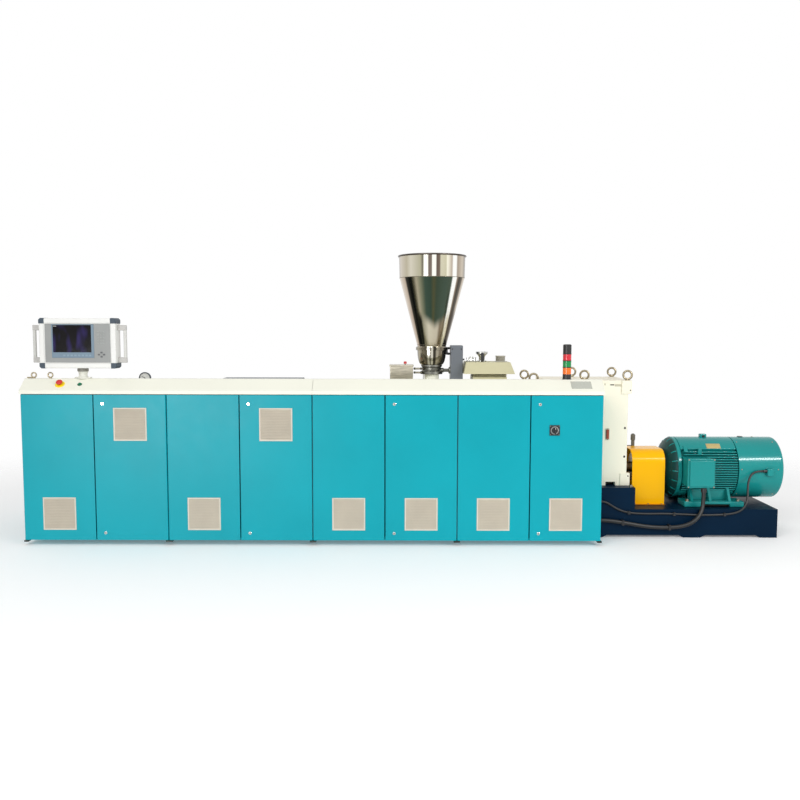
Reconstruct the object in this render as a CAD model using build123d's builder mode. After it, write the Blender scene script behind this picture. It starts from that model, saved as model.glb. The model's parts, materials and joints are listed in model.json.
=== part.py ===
import os
from math import atan2, cos, pi, radians, sin, sqrt, tan

from build123d import *

# Plastic extruder: a long cabinet with eight doors, a console hood, a feed hopper, a gearbox and a
# finned drive motor on one base frame. Millimetres, +X along the machine towards the motor, the doors
# face -Y, Z = 0 is the floor and the origin is the middle of the footprint.

# Cabinet
door_count = 8
door_pitch = 560.0
door_height = 1132.0
door_plane = -675.0
door_depth = 20.0
door_skin = 3.0
door_rim = 24.0
closing_seam = 9.0
hinge_seam = 6.0
cabinet_left = -3020.0
cabinet_bottom = 40.0
wall = 20.0
wall_gap = 6.5
sheet = 3.0
deck_thickness = 20.0
divider_thickness = 16.0

# Hinges
hinge_inset = 6.0
pin_radius = 3.0
pin_clearance = 0.3
pin_depth = 22.0
sill_thickness = 12.0
sill_half_width = 16.0
sill_setback = 2.0
sill_tail = 30.0
lift = 5.0

# Vents in the doors
vent_size = 255.0
vent_overlap = 8.5
vent_low_rise = 207.5
vent_high_drop = 227.5
vent_high_doors = (1, 3)
vent_proud = 4.0
vent_slats = 13
vent_slat_thickness = 2.5
vent_clearance = 1.0

# Main switch
switch_from_right = 375.0
switch_drop = 267.0
switch_size = 80.0
switch_corner = 6.0
switch_thickness = 6.0
switch_collar_radius = 22.0
switch_collar_height = 6.0
switch_shaft_radius = 5.0
handle_gap = 5.0
handle_root = 8.0
handle_length = 52.0
handle_width = 13.0
handle_height = 22.0

# Console hood
hood_overhang = 6.5
hood_gap = 5.0
hood_lip = 8.0
hood_slope_depth = 112.0
hood_rise = 84.0
hood_flat = 60.0
hood_seam = 2.0

# Base frame and pedestal
base_half_width = 380.0
base_height = 233.0
base_plate = 14.0
rail_width = 80.0
foot_height = 20.0
foot_length = 136.0
foot_slope = 40.0
foot_spots_from_left = (0.0, 1659.0, 3079.0)
foot_spots_from_right = (136.0, 759.0, 1558.0)
bed_under_foot = 120.0
cross_bar_width = 100.0
cross_bar_lift = 20.0
base_beyond_feet = 239.0
pedestal_height = 176.0
pedestal_margin_left = 55.0
pedestal_margin_right = 24.0

# Gearbox
gear_into_cabinet = 525.0
gear_length = 841.0
gear_half_width = 280.0
gear_above_barrel = 211.0
gear_step = 25.0
gear_step_length = 150.0
gear_gap = 10.0
gear_end_step = 26.0
cap_width = 80.0
cap_height = 108.0
cap_proud = 12.0
shoe_width = 60.0
shoe_height = 60.0
shoe_proud = 6.0
slot_left = 195.0
slot_right = 115.0
slot_depth = 60.0
slot_height = 30.0
port_radius = 9.0
port_depth = 20.0
port_from_right = 46.0
port_heights = (238.0, 474.0)

# Barrel and its cover
barrel_below_deck = 130.0
barrel_radius = 95.0
neck_radius = 104.0
neck_length = 60.0
flange_radius = 150.0
flange_thickness = 40.0
flange_outlet = 46.0
melt_bore_radius = 40.0
melt_bore_depth = 90.0
die_bolt_circle = 240.0
die_bolt_radius = 9.0
die_bolt_count = 8
stand_half_width = 130.0
stand_thickness = 24.0
stand_spots = (0.08, 0.42, 0.68, 0.84)
seat_gap = 0.3
cover_half_width = 190.0
cover_low_rise = 34.0
cover_high_rise = 56.0
cover_bevel_width = 40.0
cover_bevel_drop = 22.0
cover_joint = 4.0
cover_from_left = 40.0
cover_high_left = 1420.0
cover_high_right = 2090.0
cover_to_hopper = 380.0

# Coupling, guard and motor
motor_floor_gap = 32.0
shaft_radius = 45.0
coupling_radius = 120.0
coupling_hub = 84.0
coupling_gap = 12.0
guard_from_gearbox = 48.0
guard_length = 271.0
guard_half_width = 190.0
guard_above_shaft = 165.0
guard_corner = 110.0
guard_sheet = 4.0
guard_flange = 26.0
motor_radius = 256.0
shield_under_guard = 13.0
shield_length = 108.0
shield_nose_radius = 130.0
shield_step = 6.0
shield_rib_count = 12
shield_rib_thickness = 8.0
shield_hub_share = 0.8  # of the nose's radius, and so is the rib's shoulder
rib_shoulder_share = 1.2
shield_nose_share = 0.3  # of the shield's length, and so are the next five
shield_slope_share = 0.7
shield_rim_share = 0.2
rib_start_share = 0.1
rib_rise_share = 0.25
rib_rim_share = 0.35
shield_slope_radius_share = 0.9  # of the rim's radius
frame_length = 495.0
fin_depth = 30.0
fin_pitch = 18.5
fin_gap = 9.0
fin_band = 175.0
fin_from_left = 60.0
cowl_length = 381.0
cowl_corner = 28.0
inlet_radius = 176.0
inlet_depth = 8.0
foot_from_left = 40.0
motor_foot_past_frame = 35.0
motor_foot_reach = 34.0
motor_foot_width = 170.0
motor_foot_thickness = 49.0
motor_foot_arch = 208.0
motor_foot_arch_height = 22.0
gusset_thickness = 26.0
gusset_height = 60.0
gusset_from_left = 60.0
gusset_from_right = 90.0
lug_from_left = 246.0
lug_length = 56.0
lug_half_width = 22.0
lug_height = 26.0
terminal_from_left = 27.0
terminal_width = 223.0
terminal_below = 115.0
terminal_above = 126.0
terminal_reach = 144.0
terminal_lid = 12.0
terminal_lid_margin = 14.0
blower_box_from_right = 109.0
blower_box_width = 52.0
blower_box_below = 31.0
blower_box_above = 28.0
blower_box_reach = 34.0
terminal_root_share = 0.6  # of the motor's radius, and so is the blower box's
blower_box_root_share = 0.9
box_seat_gap = 0.3

# Hopper and feeder
hopper_from_gearbox = 774.0
hopper_sheet = 3.0
hopper_low_radius = 120.0
hopper_mid_radius = 271.0
hopper_flare = 5.0
hopper_rim_reach = 9.0
hopper_rim_height = 12.0
hopper_cone_height = 568.0
hopper_collar_height = 186.0
ring_reach = 13.0
ring_height = 21.0
ring_neck = 9.0
bowl_spare = 0.5
bowl_low_radius = 86.0
bowl_sheet = 5.0
bowl_depth = 125.0
bowl_belly_share = 0.69  # how far its middle is still as wide as its top
feeder_rise = 115.0
feeder_radius = 77.5
feeder_height = 60.0
feeder_collar = 24.0
feeder_flange = 18.0
feed_bore_radius = 45.0
feed_bore_floor = 20.0
throat_hole_radius = 70.0
feed_box_from_hopper = 153.0
feed_box_length = 202.0
feed_box_height = 175.0
feed_box_half_width = 90.0
tie_radius = 8.0
tie_heights = (26.0, -7.0)
drive_shaft_radius = 26.0
drive_shaft_rise = 26.0
knob_from_right = 70.0
knob_y = -40.0
knob_radius = 12.0
knob_height = 22.0
knob_stem_radius = 6.0
knob_stem = 8.0
drive_from_hopper = 156.0
drive_length = 102.0
drive_height = 338.0
drive_half_width = 85.0
drive_corner = 8.0

# Vent hood over the barrel
vent_hood_from_hopper = 260.0
vent_skirt_length = 420.0
vent_skirt_half_width = 185.0
vent_cap_length = 365.0
vent_cap_half_width = 150.0
vent_cap_inset = 21.0
vent_cap_height = 95.0
vent_box_inset = 79.0
vent_box_length = 280.0
vent_box_half_width = 140.0
vent_box_height = 78.0
louvre_height = 28.0
louvre_setback = 20.0
louvre_count = 3
louvre_thickness = 2.0

# Fittings on the vent hood, at distances from its cap's left end
bush_spot = 58.0
bush_radius = 30.0
bush_height = 36.0
valve_spot = 141.0
valve_radius = 40.0
valve_stem_radius = 24.0
valve_foot = 12.0
valve_cup_radius = 50.0
valve_cup_height = 24.0
valve_height = 84.0
valve_lever_width = 26.0
valve_lever_thickness = 14.0
valve_lever_front = 64.0
outlet_spot = 298.0
outlet_radius = 42.0
outlet_height = 38.0

# Lifting eyes
gear_eye_spots = (30.0, 381.0, 794.0)
gear_eye_from_side = 18.0
gear_eye_radius = 33.5
gear_eye_bar = 8.5
hood_eye_spots = (52.0, 181.0)
hood_eye_setback = 33.0
hood_eye_radius = 18.5
hood_eye_bar = 5.5
eye_shank = 2.0
eye_section_sides = 8

# Operator panel and its post
post_from_left = 439.0
post_setback = 142.0
post_plate_half_length = 62.0
post_plate_half_width = 26.0
post_plate = 7.0
post_foot_radius = 50.0
post_waist_radius = 32.0
post_head_radius = 39.0
post_height = 56.0
post_waist_low_share = 0.4  # of the post's height, and so is the waist's upper end
post_waist_high_share = 0.7
spigot_radius = 12.0
spigot_in_collar = 24.0
spigot_in_housing = 40.0
spigot_root = 20.0
bore_spare = 5.0
collar_radius = 42.0
collar_height = 24.0
panel_left_of_post = 14.0
panel_front_of_post = 7.0
panel_width = 596.0
panel_height = 390.0
panel_depth = 120.0
bar_past_corner = 3.0
corner_size = 43.0
corner_chamfer = 14.0
face_recess = 8.0
face_thickness = 12.0
grip_reach = 66.0
grip_bar = 24.0
grip_half_depth = 12.0
grip_bracket = 42.0
grip_from_bottom = 44.0
grip_from_top = 54.0

# Buttons on the slope of the hood
estop_from_left = 289.0
start_from_left = 442.0
estop_collar_radius = 36.0
estop_collar_height = 8.0
estop_head_radius = 25.0
estop_head_height = 14.0
estop_head_base = 20.0
start_collar_radius = 18.0
start_collar_height = 6.0
start_head_radius = 10.5
start_head_base = 4.0
start_head_height = 8.0
button_bore = 11.0
stop_stem_radius = 10.0
stop_stem_base = 5.0

# Signal tower and pressure gauge
tower_from_right = 261.0
tower_setback = 146.0
tower_radius = 32.5
tower_lip = 2.0
tower_foot = 6.0
tower_bands = (20.0, 58.0, 54.0, 51.0, 85.0)
gauge_from_left = 763.0
gauge_radius = 50.0
gauge_rise = 57.0
gauge_depth = 28.0
gauge_stem_radius = 8.0
gauge_room = 10.0

# Cables
thick_cable = 32.0
thin_cable = 17.0
thick_gland_wall = 6.0
thin_gland_wall = 3.0
gland_length = 30.0
terminal_gland_length = 34.0
gland_from_left = 137.0
gland_from_front = 22.0
blower_gland_rise = 7.0
clip_half_width = 9.0
clip_wall = 4.0
clip_clearance = 1.5
clip_bore_start = 0.3  # of the run that it holds, and so is the bore's length
clip_bore_share = 0.4
turn_share = 0.45  # of the shorter run beside a turn of a cable

# Heights
door_low = cabinet_bottom + lift
door_top = door_low + door_height
hood_low = door_top + hood_gap
deck_underside = hood_low + hood_lip
deck_top = deck_underside + deck_thickness
hood_top = deck_top + hood_rise
pedestal_top = base_height + pedestal_height
barrel_z = deck_underside - barrel_below_deck
gear_top = barrel_z + gear_above_barrel
shaft_z = base_height + motor_floor_gap + motor_radius
feeder_flange_z = deck_top + feeder_rise
bowl_low_z = feeder_flange_z + feeder_height
ring_low = bowl_low_z + bowl_depth
ring_top = ring_low + ring_height
hopper_low_z = ring_top + ring_neck
hopper_mid_z = hopper_low_z + hopper_cone_height
hopper_rim_z = hopper_mid_z + hopper_collar_height
vent_box_top = deck_top + vent_box_height
vent_skirt_z = vent_box_top + louvre_height
vent_cap_z = vent_skirt_z + vent_cap_height
gauge_z = deck_top + gauge_rise
collar_low = hood_top + post_height
panel_low = collar_low + collar_height
panel_high = panel_low + panel_height

# Places along the machine
cabinet_right = cabinet_left + door_count * door_pitch
middle_seam = (cabinet_left + cabinet_right) / 2
gear_left = cabinet_right - gear_into_cabinet
gear_right = gear_left + gear_length
pedestal_left = gear_left - pedestal_margin_left
pedestal_right = gear_right + pedestal_margin_right
guard_left = gear_right + guard_from_gearbox
guard_right = guard_left + guard_length
shield_left = guard_right - shield_under_guard
frame_left = shield_left + shield_length
cowl_left = frame_left + frame_length
motor_right = cowl_left + cowl_length
foot_left = frame_left + foot_from_left
foot_right = cowl_left + motor_foot_past_frame
base_right = foot_right + base_beyond_feet
hopper_x = gear_left - hopper_from_gearbox
feed_box_right = hopper_x - feed_box_from_hopper
feed_box_left = feed_box_right - feed_box_length
drive_left = hopper_x + drive_from_hopper
drive_right = drive_left + drive_length
vent_skirt_left = hopper_x + vent_hood_from_hopper
vent_cap_left = vent_skirt_left + vent_cap_inset
vent_box_left = vent_skirt_left + vent_box_inset
vent_box_right = vent_box_left + vent_box_length
gauge_x = cabinet_left + gauge_from_left
flange_face = cabinet_left - flange_outlet

# Places across the machine
door_back = door_plane + door_depth
hinge_y = door_plane + hinge_inset
vent_cut = vent_size - 2 * vent_overlap
wall_front = door_back + wall_gap
slope_angle = atan2(hood_rise, hood_slope_depth)
hood_back = door_plane + hood_slope_depth + hood_flat
rail_inner = base_half_width - rail_width
bowl_radius = hopper_low_radius + bowl_spare
ring_radius = hopper_low_radius + ring_reach
hopper_top_radius = hopper_mid_radius + hopper_flare
hopper_rim_radius = hopper_top_radius + hopper_rim_reach
fin_root_radius = motor_radius - fin_depth
bay_back = base_half_width + wall

os.makedirs("parts", exist_ok=True)


def block(x, y, z, mode=Mode.ADD):
    """Adds a block that spans the three ranges, whichever way round their ends are given."""
    with Locations((sum(x) / 2, sum(y) / 2, sum(z) / 2)):
        Box(abs(x[1] - x[0]), abs(y[1] - y[0]), abs(z[1] - z[0]), mode=mode)


def rod(centre, axis, radius, length, mode=Mode.ADD):
    """Adds a cylinder along an axis, starting at its centre point."""
    with Locations(Plane(origin=centre, z_dir=axis).location):
        Cylinder(radius, length, align=(Align.CENTER, Align.CENTER, Align.MIN), mode=mode)


def both_sides(near, far):
    """The two ranges between a near and a far distance from the middle plane."""
    return ((-far, -near), (near, far))


def keep(name, part):
    """Labels a finished piece and writes it."""
    part.label = name
    export_step(part, f"parts/{name}.step")


# Base frame: two long rails with feet, cross bars and a top plate that is open under the motor
with BuildPart() as rails:
    for span in both_sides(rail_inner, base_half_width):
        block((cabinet_left, base_right), span, (foot_height, base_height - base_plate))
    foot_places = [cabinet_left + spot for spot in foot_spots_from_left]
    foot_places += [base_right - spot for spot in foot_spots_from_right]
    with BuildSketch(Plane.XZ) as feet:
        for x in foot_places:
            with BuildLine():
                Polyline(
                    (x, 0),
                    (x + foot_length, 0),
                    (min(x + foot_length + foot_slope, base_right), foot_height),
                    (max(x - foot_slope, cabinet_left), foot_height),
                    close=True,
                )
            make_face()
    for near in (-base_half_width, rail_inner):
        with Locations((0, near + rail_width, 0)):
            add(extrude(feet.sketch, amount=rail_width, mode=Mode.PRIVATE))
keep("base_rails", rails.part)

with BuildPart() as cross_bars:
    base_length = base_right - cabinet_left
    for share in (0.01, 0.25, 0.5, 0.75, 0.99):
        x = cabinet_left + share * (base_length - cross_bar_width)
        block(
            (x, x + cross_bar_width),
            (-rail_inner, rail_inner),
            (foot_height + cross_bar_lift, base_height - base_plate),
        )
keep("base_cross_bars", cross_bars.part)

with BuildPart() as top_plate:
    block(
        (cabinet_left, base_right),
        (-base_half_width, base_half_width),
        (base_height - base_plate, base_height),
    )
    block(
        (foot_left + bed_under_foot, foot_right - bed_under_foot),
        (-rail_inner, rail_inner),
        (base_height - base_plate, base_height),
        Mode.SUBTRACT,
    )
keep("base_top_plate", top_plate.part)

with BuildPart() as pedestal:
    block(
        (pedestal_left, pedestal_right),
        (-base_half_width, base_half_width),
        (base_height, pedestal_top),
    )
keep("gearbox_pedestal", pedestal.part)

# Cabinet shell: floors, back walls of the bays, end walls, dividers and deck
with BuildPart() as cabinet_floor:
    for span in both_sides(bay_back, -wall_front):
        block((cabinet_left, cabinet_right), span, (cabinet_bottom, cabinet_bottom + wall))
keep("cabinet_floor", cabinet_floor.part)

with BuildPart() as bay_backs:
    for span in both_sides(base_half_width, bay_back):
        block((cabinet_left + wall, cabinet_right - wall), span, (cabinet_bottom, deck_underside))
keep("bay_back_walls", bay_backs.part)

with BuildPart() as end_walls:
    left_end = (cabinet_left, cabinet_left + wall)
    right_end = (cabinet_right - wall, cabinet_right)
    for x in (left_end, right_end):
        block(x, (wall_front, -wall_front), (cabinet_bottom + wall, deck_underside))
    rod((cabinet_left, 0, barrel_z), (1, 0, 0), neck_radius + gear_gap, wall, Mode.SUBTRACT)
    block(left_end, (-base_half_width, base_half_width), (cabinet_bottom, base_height), Mode.SUBTRACT)
    block(right_end, (-base_half_width, base_half_width), (cabinet_bottom, pedestal_top), Mode.SUBTRACT)
    gear_room = gear_half_width + gear_gap
    block(right_end, (-gear_room, gear_room), (pedestal_top, deck_underside), Mode.SUBTRACT)
keep("end_walls", end_walls.part)

with BuildPart() as dividers:
    for bay in range(1, door_count // 2):
        x = cabinet_left + bay * 2 * door_pitch
        block(
            (x - divider_thickness / 2, x + divider_thickness / 2),
            (wall_front, -bay_back),
            (cabinet_bottom + wall, deck_underside),
        )
keep("bay_dividers", dividers.part)

# Deck over the cabinet, open for the gearbox and for the feed throat
with BuildPart() as deck:
    block((cabinet_left, cabinet_right), (door_plane + sheet, -door_plane), (deck_underside, deck_top))
    block(
        (gear_left - gear_gap, cabinet_right),
        (-gear_room, gear_room),
        (deck_underside, deck_top),
        Mode.SUBTRACT,
    )
    rod((hopper_x, 0, deck_underside), (0, 0, 1), throat_hole_radius, deck_thickness, Mode.SUBTRACT)
keep("cabinet_deck", deck.part)

# Rear side: plain fixed panels at the pitch of the doors
with BuildPart() as rear_panels:
    for i in range(door_count):
        x = cabinet_left + i * door_pitch
        block(
            (x + hinge_seam / 2, x + door_pitch - hinge_seam / 2),
            (-wall_front, -door_plane),
            (cabinet_bottom, deck_underside),
        )
keep("rear_panels", rear_panels.part)


# Doors and hinges
def door_span(i):
    """Left and right edge of door i, with the wider seam where two doors close on each other."""
    left = cabinet_left + i * door_pitch
    right = left + door_pitch
    if i % 2 == 0:
        return left + hinge_seam / 2, right - closing_seam / 2
    return left + closing_seam / 2, right - hinge_seam / 2


def hinge_x(i):
    left, right = door_span(i)
    return left + hinge_inset if i % 2 == 0 else right - hinge_inset


with BuildPart() as hinge_pins:
    top_pin = deck_underside - door_top + pin_depth
    for i in range(door_count):
        x = hinge_x(i)
        block(
            (x - sill_half_width, x + sill_half_width),
            (door_plane + sill_setback, wall_front + sill_tail),
            (cabinet_bottom - sill_thickness, cabinet_bottom),
        )
        rod((x, hinge_y, cabinet_bottom), (0, 0, 1), pin_radius, lift + pin_depth)
        rod((x, hinge_y, deck_underside), (0, 0, -1), pin_radius, top_pin)
keep("hinge_pins", hinge_pins.part)


def vent_z(i):
    return door_top - vent_high_drop if i in vent_high_doors else door_low + vent_low_rise


def door(i):
    """A pressed pan, open at the back, rounded about its hinge axis."""
    left, right = door_span(i)
    with BuildPart() as piece:
        block((left, right), (door_plane, door_back), (door_low, door_top))
        front_edges = piece.edges().filter_by(Axis.Z).group_by(Axis.Y)[0].sort_by(Axis.X)
        fillet(front_edges[0 if i % 2 == 0 else -1], hinge_inset - 0.01)
        block(
            (left + door_rim, right - door_rim),
            (door_plane + door_skin, door_back),
            (door_low + door_rim, door_top - door_rim),
            Mode.SUBTRACT,
        )
        middle = (left + right) / 2
        cut = vent_cut / 2
        block(
            (middle - cut, middle + cut),
            (door_plane, door_back),
            (vent_z(i) - cut, vent_z(i) + cut),
            Mode.SUBTRACT,
        )
        bore = pin_radius + pin_clearance
        for z, way in ((door_low, 1), (door_top, -1)):
            rod((hinge_x(i), hinge_y, z), (0, 0, way), bore, pin_depth + lift, Mode.SUBTRACT)
    keep(f"door_{i + 1}", piece.part)


def vent(i):
    """A frame with sloping slats."""
    middle = sum(door_span(i)) / 2
    half = vent_size / 2
    opening = vent_cut / 2 - vent_clearance
    front = door_plane - vent_proud
    pitch = 2 * opening / vent_slats
    drop = pitch / 2 - 0.1
    with BuildPart() as piece:
        block((middle - half, middle + half), (front, door_plane), (vent_z(i) - half, vent_z(i) + half))
        block(
            (middle - opening, middle + opening),
            (front, door_plane),
            (vent_z(i) - opening, vent_z(i) + opening),
            Mode.SUBTRACT,
        )
        with BuildSketch(Plane.YZ.offset(middle - opening)):
            for slat in range(vent_slats):
                z = vent_z(i) - opening + (slat + 0.5) * pitch
                with BuildLine():
                    Polyline(
                        (front, z - drop),
                        (front + vent_slat_thickness, z - drop),
                        (door_plane + vent_slat_thickness, z + drop),
                        (door_plane, z + drop),
                        close=True,
                    )
                make_face()
        extrude(amount=2 * opening)
    keep(f"door_{i + 1}_vent", piece.part)


for i in range(door_count):
    door(i)
    vent(i)

# Main switch: plate with a collar, and a rotary handle that turns on it
switch_x = cabinet_right - switch_from_right
switch_z = door_top - switch_drop
switch_front = door_plane - switch_thickness
collar_front = switch_front - switch_collar_height
with BuildPart() as switch_base:
    half = switch_size / 2
    block((switch_x - half, switch_x + half), (switch_front, door_plane), (switch_z - half, switch_z + half))
    fillet(switch_base.edges().filter_by(Axis.Y), switch_corner)
    rod((switch_x, switch_front, switch_z), (0, -1, 0), switch_collar_radius, switch_collar_height)
    rod(
        (switch_x, door_plane - door_skin, switch_z),
        (0, -1, 0),
        switch_shaft_radius + pin_clearance,
        switch_thickness + switch_collar_height,
        Mode.SUBTRACT,
    )
keep("switch_plate", switch_base.part)

handle_back = collar_front - handle_gap
with BuildPart() as switch_handle:
    with BuildSketch(Plane.XZ.offset(-handle_back)):
        with Locations((switch_x, switch_z)):
            SlotOverall(handle_length, handle_width, rotation=90)
    extrude(amount=handle_height)
    rod((switch_x, handle_back, switch_z), (0, 1, 0), switch_shaft_radius, handle_gap + handle_root)
keep("switch_handle", switch_handle.part)


# Console hood: a folded shell in two lengths, closed at the outer ends
def hood(left, right, close_left, close_right):
    """One length of the hood, with an end plate where it is closed."""
    inner_front = door_plane + sheet / sin(slope_angle)
    inner_top = hood_top - sheet
    inner_ridge = inner_front + (hood_rise - sheet) / tan(slope_angle)
    with BuildSketch(Plane.YZ.offset(left)) as outside:
        with BuildLine():
            Polyline(
                (door_plane, hood_low),
                (door_plane, deck_top),
                (door_plane + hood_slope_depth, hood_top),
                (hood_back, hood_top),
                (hood_back, deck_top),
                (door_plane + sheet, deck_top),
                (door_plane + sheet, hood_low),
                close=True,
            )
        make_face()
    extrude(outside.sketch, amount=right - left)
    inner_left = left + (sheet if close_left else 0)
    inner_right = right - (sheet if close_right else 0)
    with BuildSketch(Plane.YZ.offset(inner_left)) as inside:
        with BuildLine():
            Polyline(
                (inner_front, deck_top),
                (inner_ridge, inner_top),
                (hood_back - sheet, inner_top),
                (hood_back - sheet, deck_top),
                close=True,
            )
        make_face()
    extrude(inside.sketch, amount=inner_right - inner_left, mode=Mode.SUBTRACT)


with BuildPart() as console_hood:
    hood(cabinet_left - hood_overhang, middle_seam - hood_seam / 2, True, False)
    hood(middle_seam + hood_seam / 2, cabinet_right + hood_overhang, False, True)
keep("console_hood", console_hood.part)

# Barrel with the die flange that meets a die head and the feed throat, and its stands
with BuildPart() as barrel:
    rod((flange_face, 0, barrel_z), (1, 0, 0), barrel_radius, gear_left - flange_face)
    rod((flange_face, 0, barrel_z), (1, 0, 0), neck_radius, flange_thickness + neck_length)
    rod((flange_face, 0, barrel_z), (1, 0, 0), flange_radius, flange_thickness)
    for share in stand_spots:
        x = cabinet_left + share * (gear_left - cabinet_left)
        block(
            (x - stand_thickness / 2, x + stand_thickness / 2),
            (-stand_half_width, stand_half_width),
            (base_height, barrel_z - barrel_radius - seat_gap),
        )
    rod((flange_face, 0, barrel_z), (1, 0, 0), melt_bore_radius, melt_bore_depth, Mode.SUBTRACT)
    with BuildSketch(Plane(origin=(flange_face, 0, barrel_z), z_dir=(1, 0, 0))):
        with PolarLocations(die_bolt_circle / 2, die_bolt_count):
            Circle(die_bolt_radius)
    extrude(amount=flange_thickness, mode=Mode.SUBTRACT)
    throat_top = feeder_flange_z - feeder_flange
    rod((hopper_x, 0, barrel_z), (0, 0, 1), throat_hole_radius - gear_gap, throat_top - barrel_z)
    rod(
        (hopper_x, 0, barrel_z + feed_bore_floor),
        (0, 0, 1),
        feed_bore_radius,
        throat_top - barrel_z,
        Mode.SUBTRACT,
    )
keep("barrel", barrel.part)


def cover(left, right, top):
    """A folded cover over the barrel, standing on the deck."""
    half = cover_half_width
    with BuildSketch(Plane.YZ.offset(left)) as outline:
        with BuildLine():
            Polyline(
                (-half, deck_top),
                (-half, top - cover_bevel_drop),
                (-half + cover_bevel_width, top),
                (half - cover_bevel_width, top),
                (half, top - cover_bevel_drop),
                (half, deck_top),
                close=True,
            )
        make_face()
    extrude(outline.sketch, amount=right - left)


with BuildPart() as barrel_cover:
    room = gauge_radius + gauge_room
    high_left = cabinet_left + cover_high_left
    high_right = cabinet_left + cover_high_right
    low_top = deck_top + cover_low_rise
    cover(cabinet_left + cover_from_left, gauge_x - room, low_top)
    cover(gauge_x + room, high_left - cover_joint, low_top)
    cover(high_left, high_right, deck_top + cover_high_rise)
    cover(high_right + cover_joint, hopper_x - cover_to_hopper, low_top)
keep("barrel_cover", barrel_cover.part)

# Gearbox housing with its end caps, shoes, slots and ports
with BuildPart() as gearbox:
    half = gear_half_width
    block((gear_left, gear_right - gear_end_step), (-half, half), (pedestal_top, gear_top))
    cap = half + cap_proud
    block((gear_right - cap_width, gear_right), (-cap, cap), (gear_top - cap_height, gear_top))
    shoe = half + shoe_proud
    block((gear_right - shoe_width, gear_right), (-shoe, shoe), (pedestal_top, pedestal_top + shoe_height))
    for span in both_sides(half - slot_depth, half):
        block(
            (gear_right - slot_left, gear_right - slot_right),
            span,
            (pedestal_top, pedestal_top + slot_height),
            Mode.SUBTRACT,
        )
    block(
        (gear_left, gear_left + gear_step_length),
        (-half, half),
        (gear_top - gear_step, gear_top),
        Mode.SUBTRACT,
    )
    for rise in port_heights:
        port = (gear_right - port_from_right, -half, pedestal_top + rise)
        rod(port, (0, 1, 0), port_radius, port_depth, Mode.SUBTRACT)
keep("gearbox_housing", gearbox.part)


def eye_bolt(x, y, base, ring, bar):
    """A lifting eye standing on its shank."""
    middle = base + eye_shank + bar + ring
    with BuildSketch(Plane.XY.offset(middle)) as section:
        with Locations((x + ring, y)):
            RegularPolygon(bar, eye_section_sides, rotation=180 / eye_section_sides)
    revolve(section.sketch, axis=Axis((x, y, middle), (0, 1, 0)))
    rod((x, y, base), (0, 0, 1), bar * 1.5, eye_shank + bar)


with BuildPart() as eye_bolts:
    for spot in gear_eye_spots:
        x = gear_right - spot
        base = gear_top - (gear_step if x < gear_left + gear_step_length else 0)
        for side in (-1, 1):
            y = side * (gear_half_width - gear_eye_from_side)
            eye_bolt(x, y, base, gear_eye_radius, gear_eye_bar)
    for spot in hood_eye_spots:
        y = door_plane + hood_slope_depth + hood_eye_setback
        eye_bolt(cabinet_left + spot, y, hood_top, hood_eye_radius, hood_eye_bar)
keep("eye_bolts", eye_bolts.part)

# Coupling between the gearbox and the motor, under its guard
with BuildPart() as coupling:
    shaft_start = gear_right - gear_end_step
    rod((shaft_start, 0, shaft_z), (1, 0, 0), shaft_radius, shield_left - shaft_start)
    middle = (guard_left + guard_right) / 2
    for way in (-1, 1):
        start = (middle + way * coupling_gap / 2, 0, shaft_z)
        rod(start, (way, 0, 0), coupling_radius, coupling_hub)
keep("coupling", coupling.part)

guard_top = shaft_z + guard_above_shaft
with BuildPart() as guard:
    for half, top, corner, mode in (
        (guard_half_width, guard_top, guard_corner, Mode.ADD),
        (guard_half_width - guard_sheet, guard_top - guard_sheet, guard_corner - guard_sheet, Mode.SUBTRACT),
    ):
        with BuildSketch(Plane.YZ.offset(guard_left)) as arch:
            with BuildLine():
                Polyline((-half, base_height), (-half, top), (half, top), (half, base_height), close=True)
            make_face()
            fillet(arch.vertices().group_by(Axis.Y)[-1], corner)
        extrude(amount=guard_length, mode=mode)
    inner = guard_half_width - guard_sheet
    for span in both_sides(inner, guard_half_width + guard_flange):
        block((guard_left, guard_right), span, (base_height, base_height + guard_sheet))
keep("coupling_guard", guard.part)

# Motor frame: a finned casing on two feet, with a lifting lug
with BuildPart() as motor_frame:
    rod((frame_left, 0, shaft_z), (1, 0, 0), motor_radius, frame_length)
    lug_left = frame_left + lug_from_left
    block(
        (lug_left, lug_left + lug_length),
        (-lug_half_width, lug_half_width),
        (shaft_z + fin_root_radius, shaft_z + motor_radius + lug_height),
    )
    for n in range(int(2 * fin_band / fin_pitch)):
        z = shaft_z - fin_band + (n + 0.5) * fin_pitch
        root = sqrt(fin_root_radius**2 - (z - shaft_z) ** 2)
        for span in both_sides(root, motor_radius + fin_gap):
            block(
                (frame_left + fin_from_left, cowl_left),
                span,
                (z - fin_gap / 2, z + fin_gap / 2),
                Mode.SUBTRACT,
            )
    foot_top = base_height + motor_foot_thickness
    foot_middle = (foot_left + foot_right) / 2
    foot_front = motor_radius + motor_foot_reach
    for span in both_sides(foot_front - motor_foot_width, foot_front):
        block((foot_left, foot_right), span, (base_height, foot_top))
        for x in (foot_left + gusset_from_left, foot_right - gusset_from_right):
            block((x, x + gusset_thickness), span, (foot_top, foot_top + gusset_height))
        block(
            (foot_middle - motor_foot_arch / 2, foot_middle + motor_foot_arch / 2),
            span,
            (base_height, base_height + motor_foot_arch_height),
            Mode.SUBTRACT,
        )
keep("motor_frame", motor_frame.part)

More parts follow.
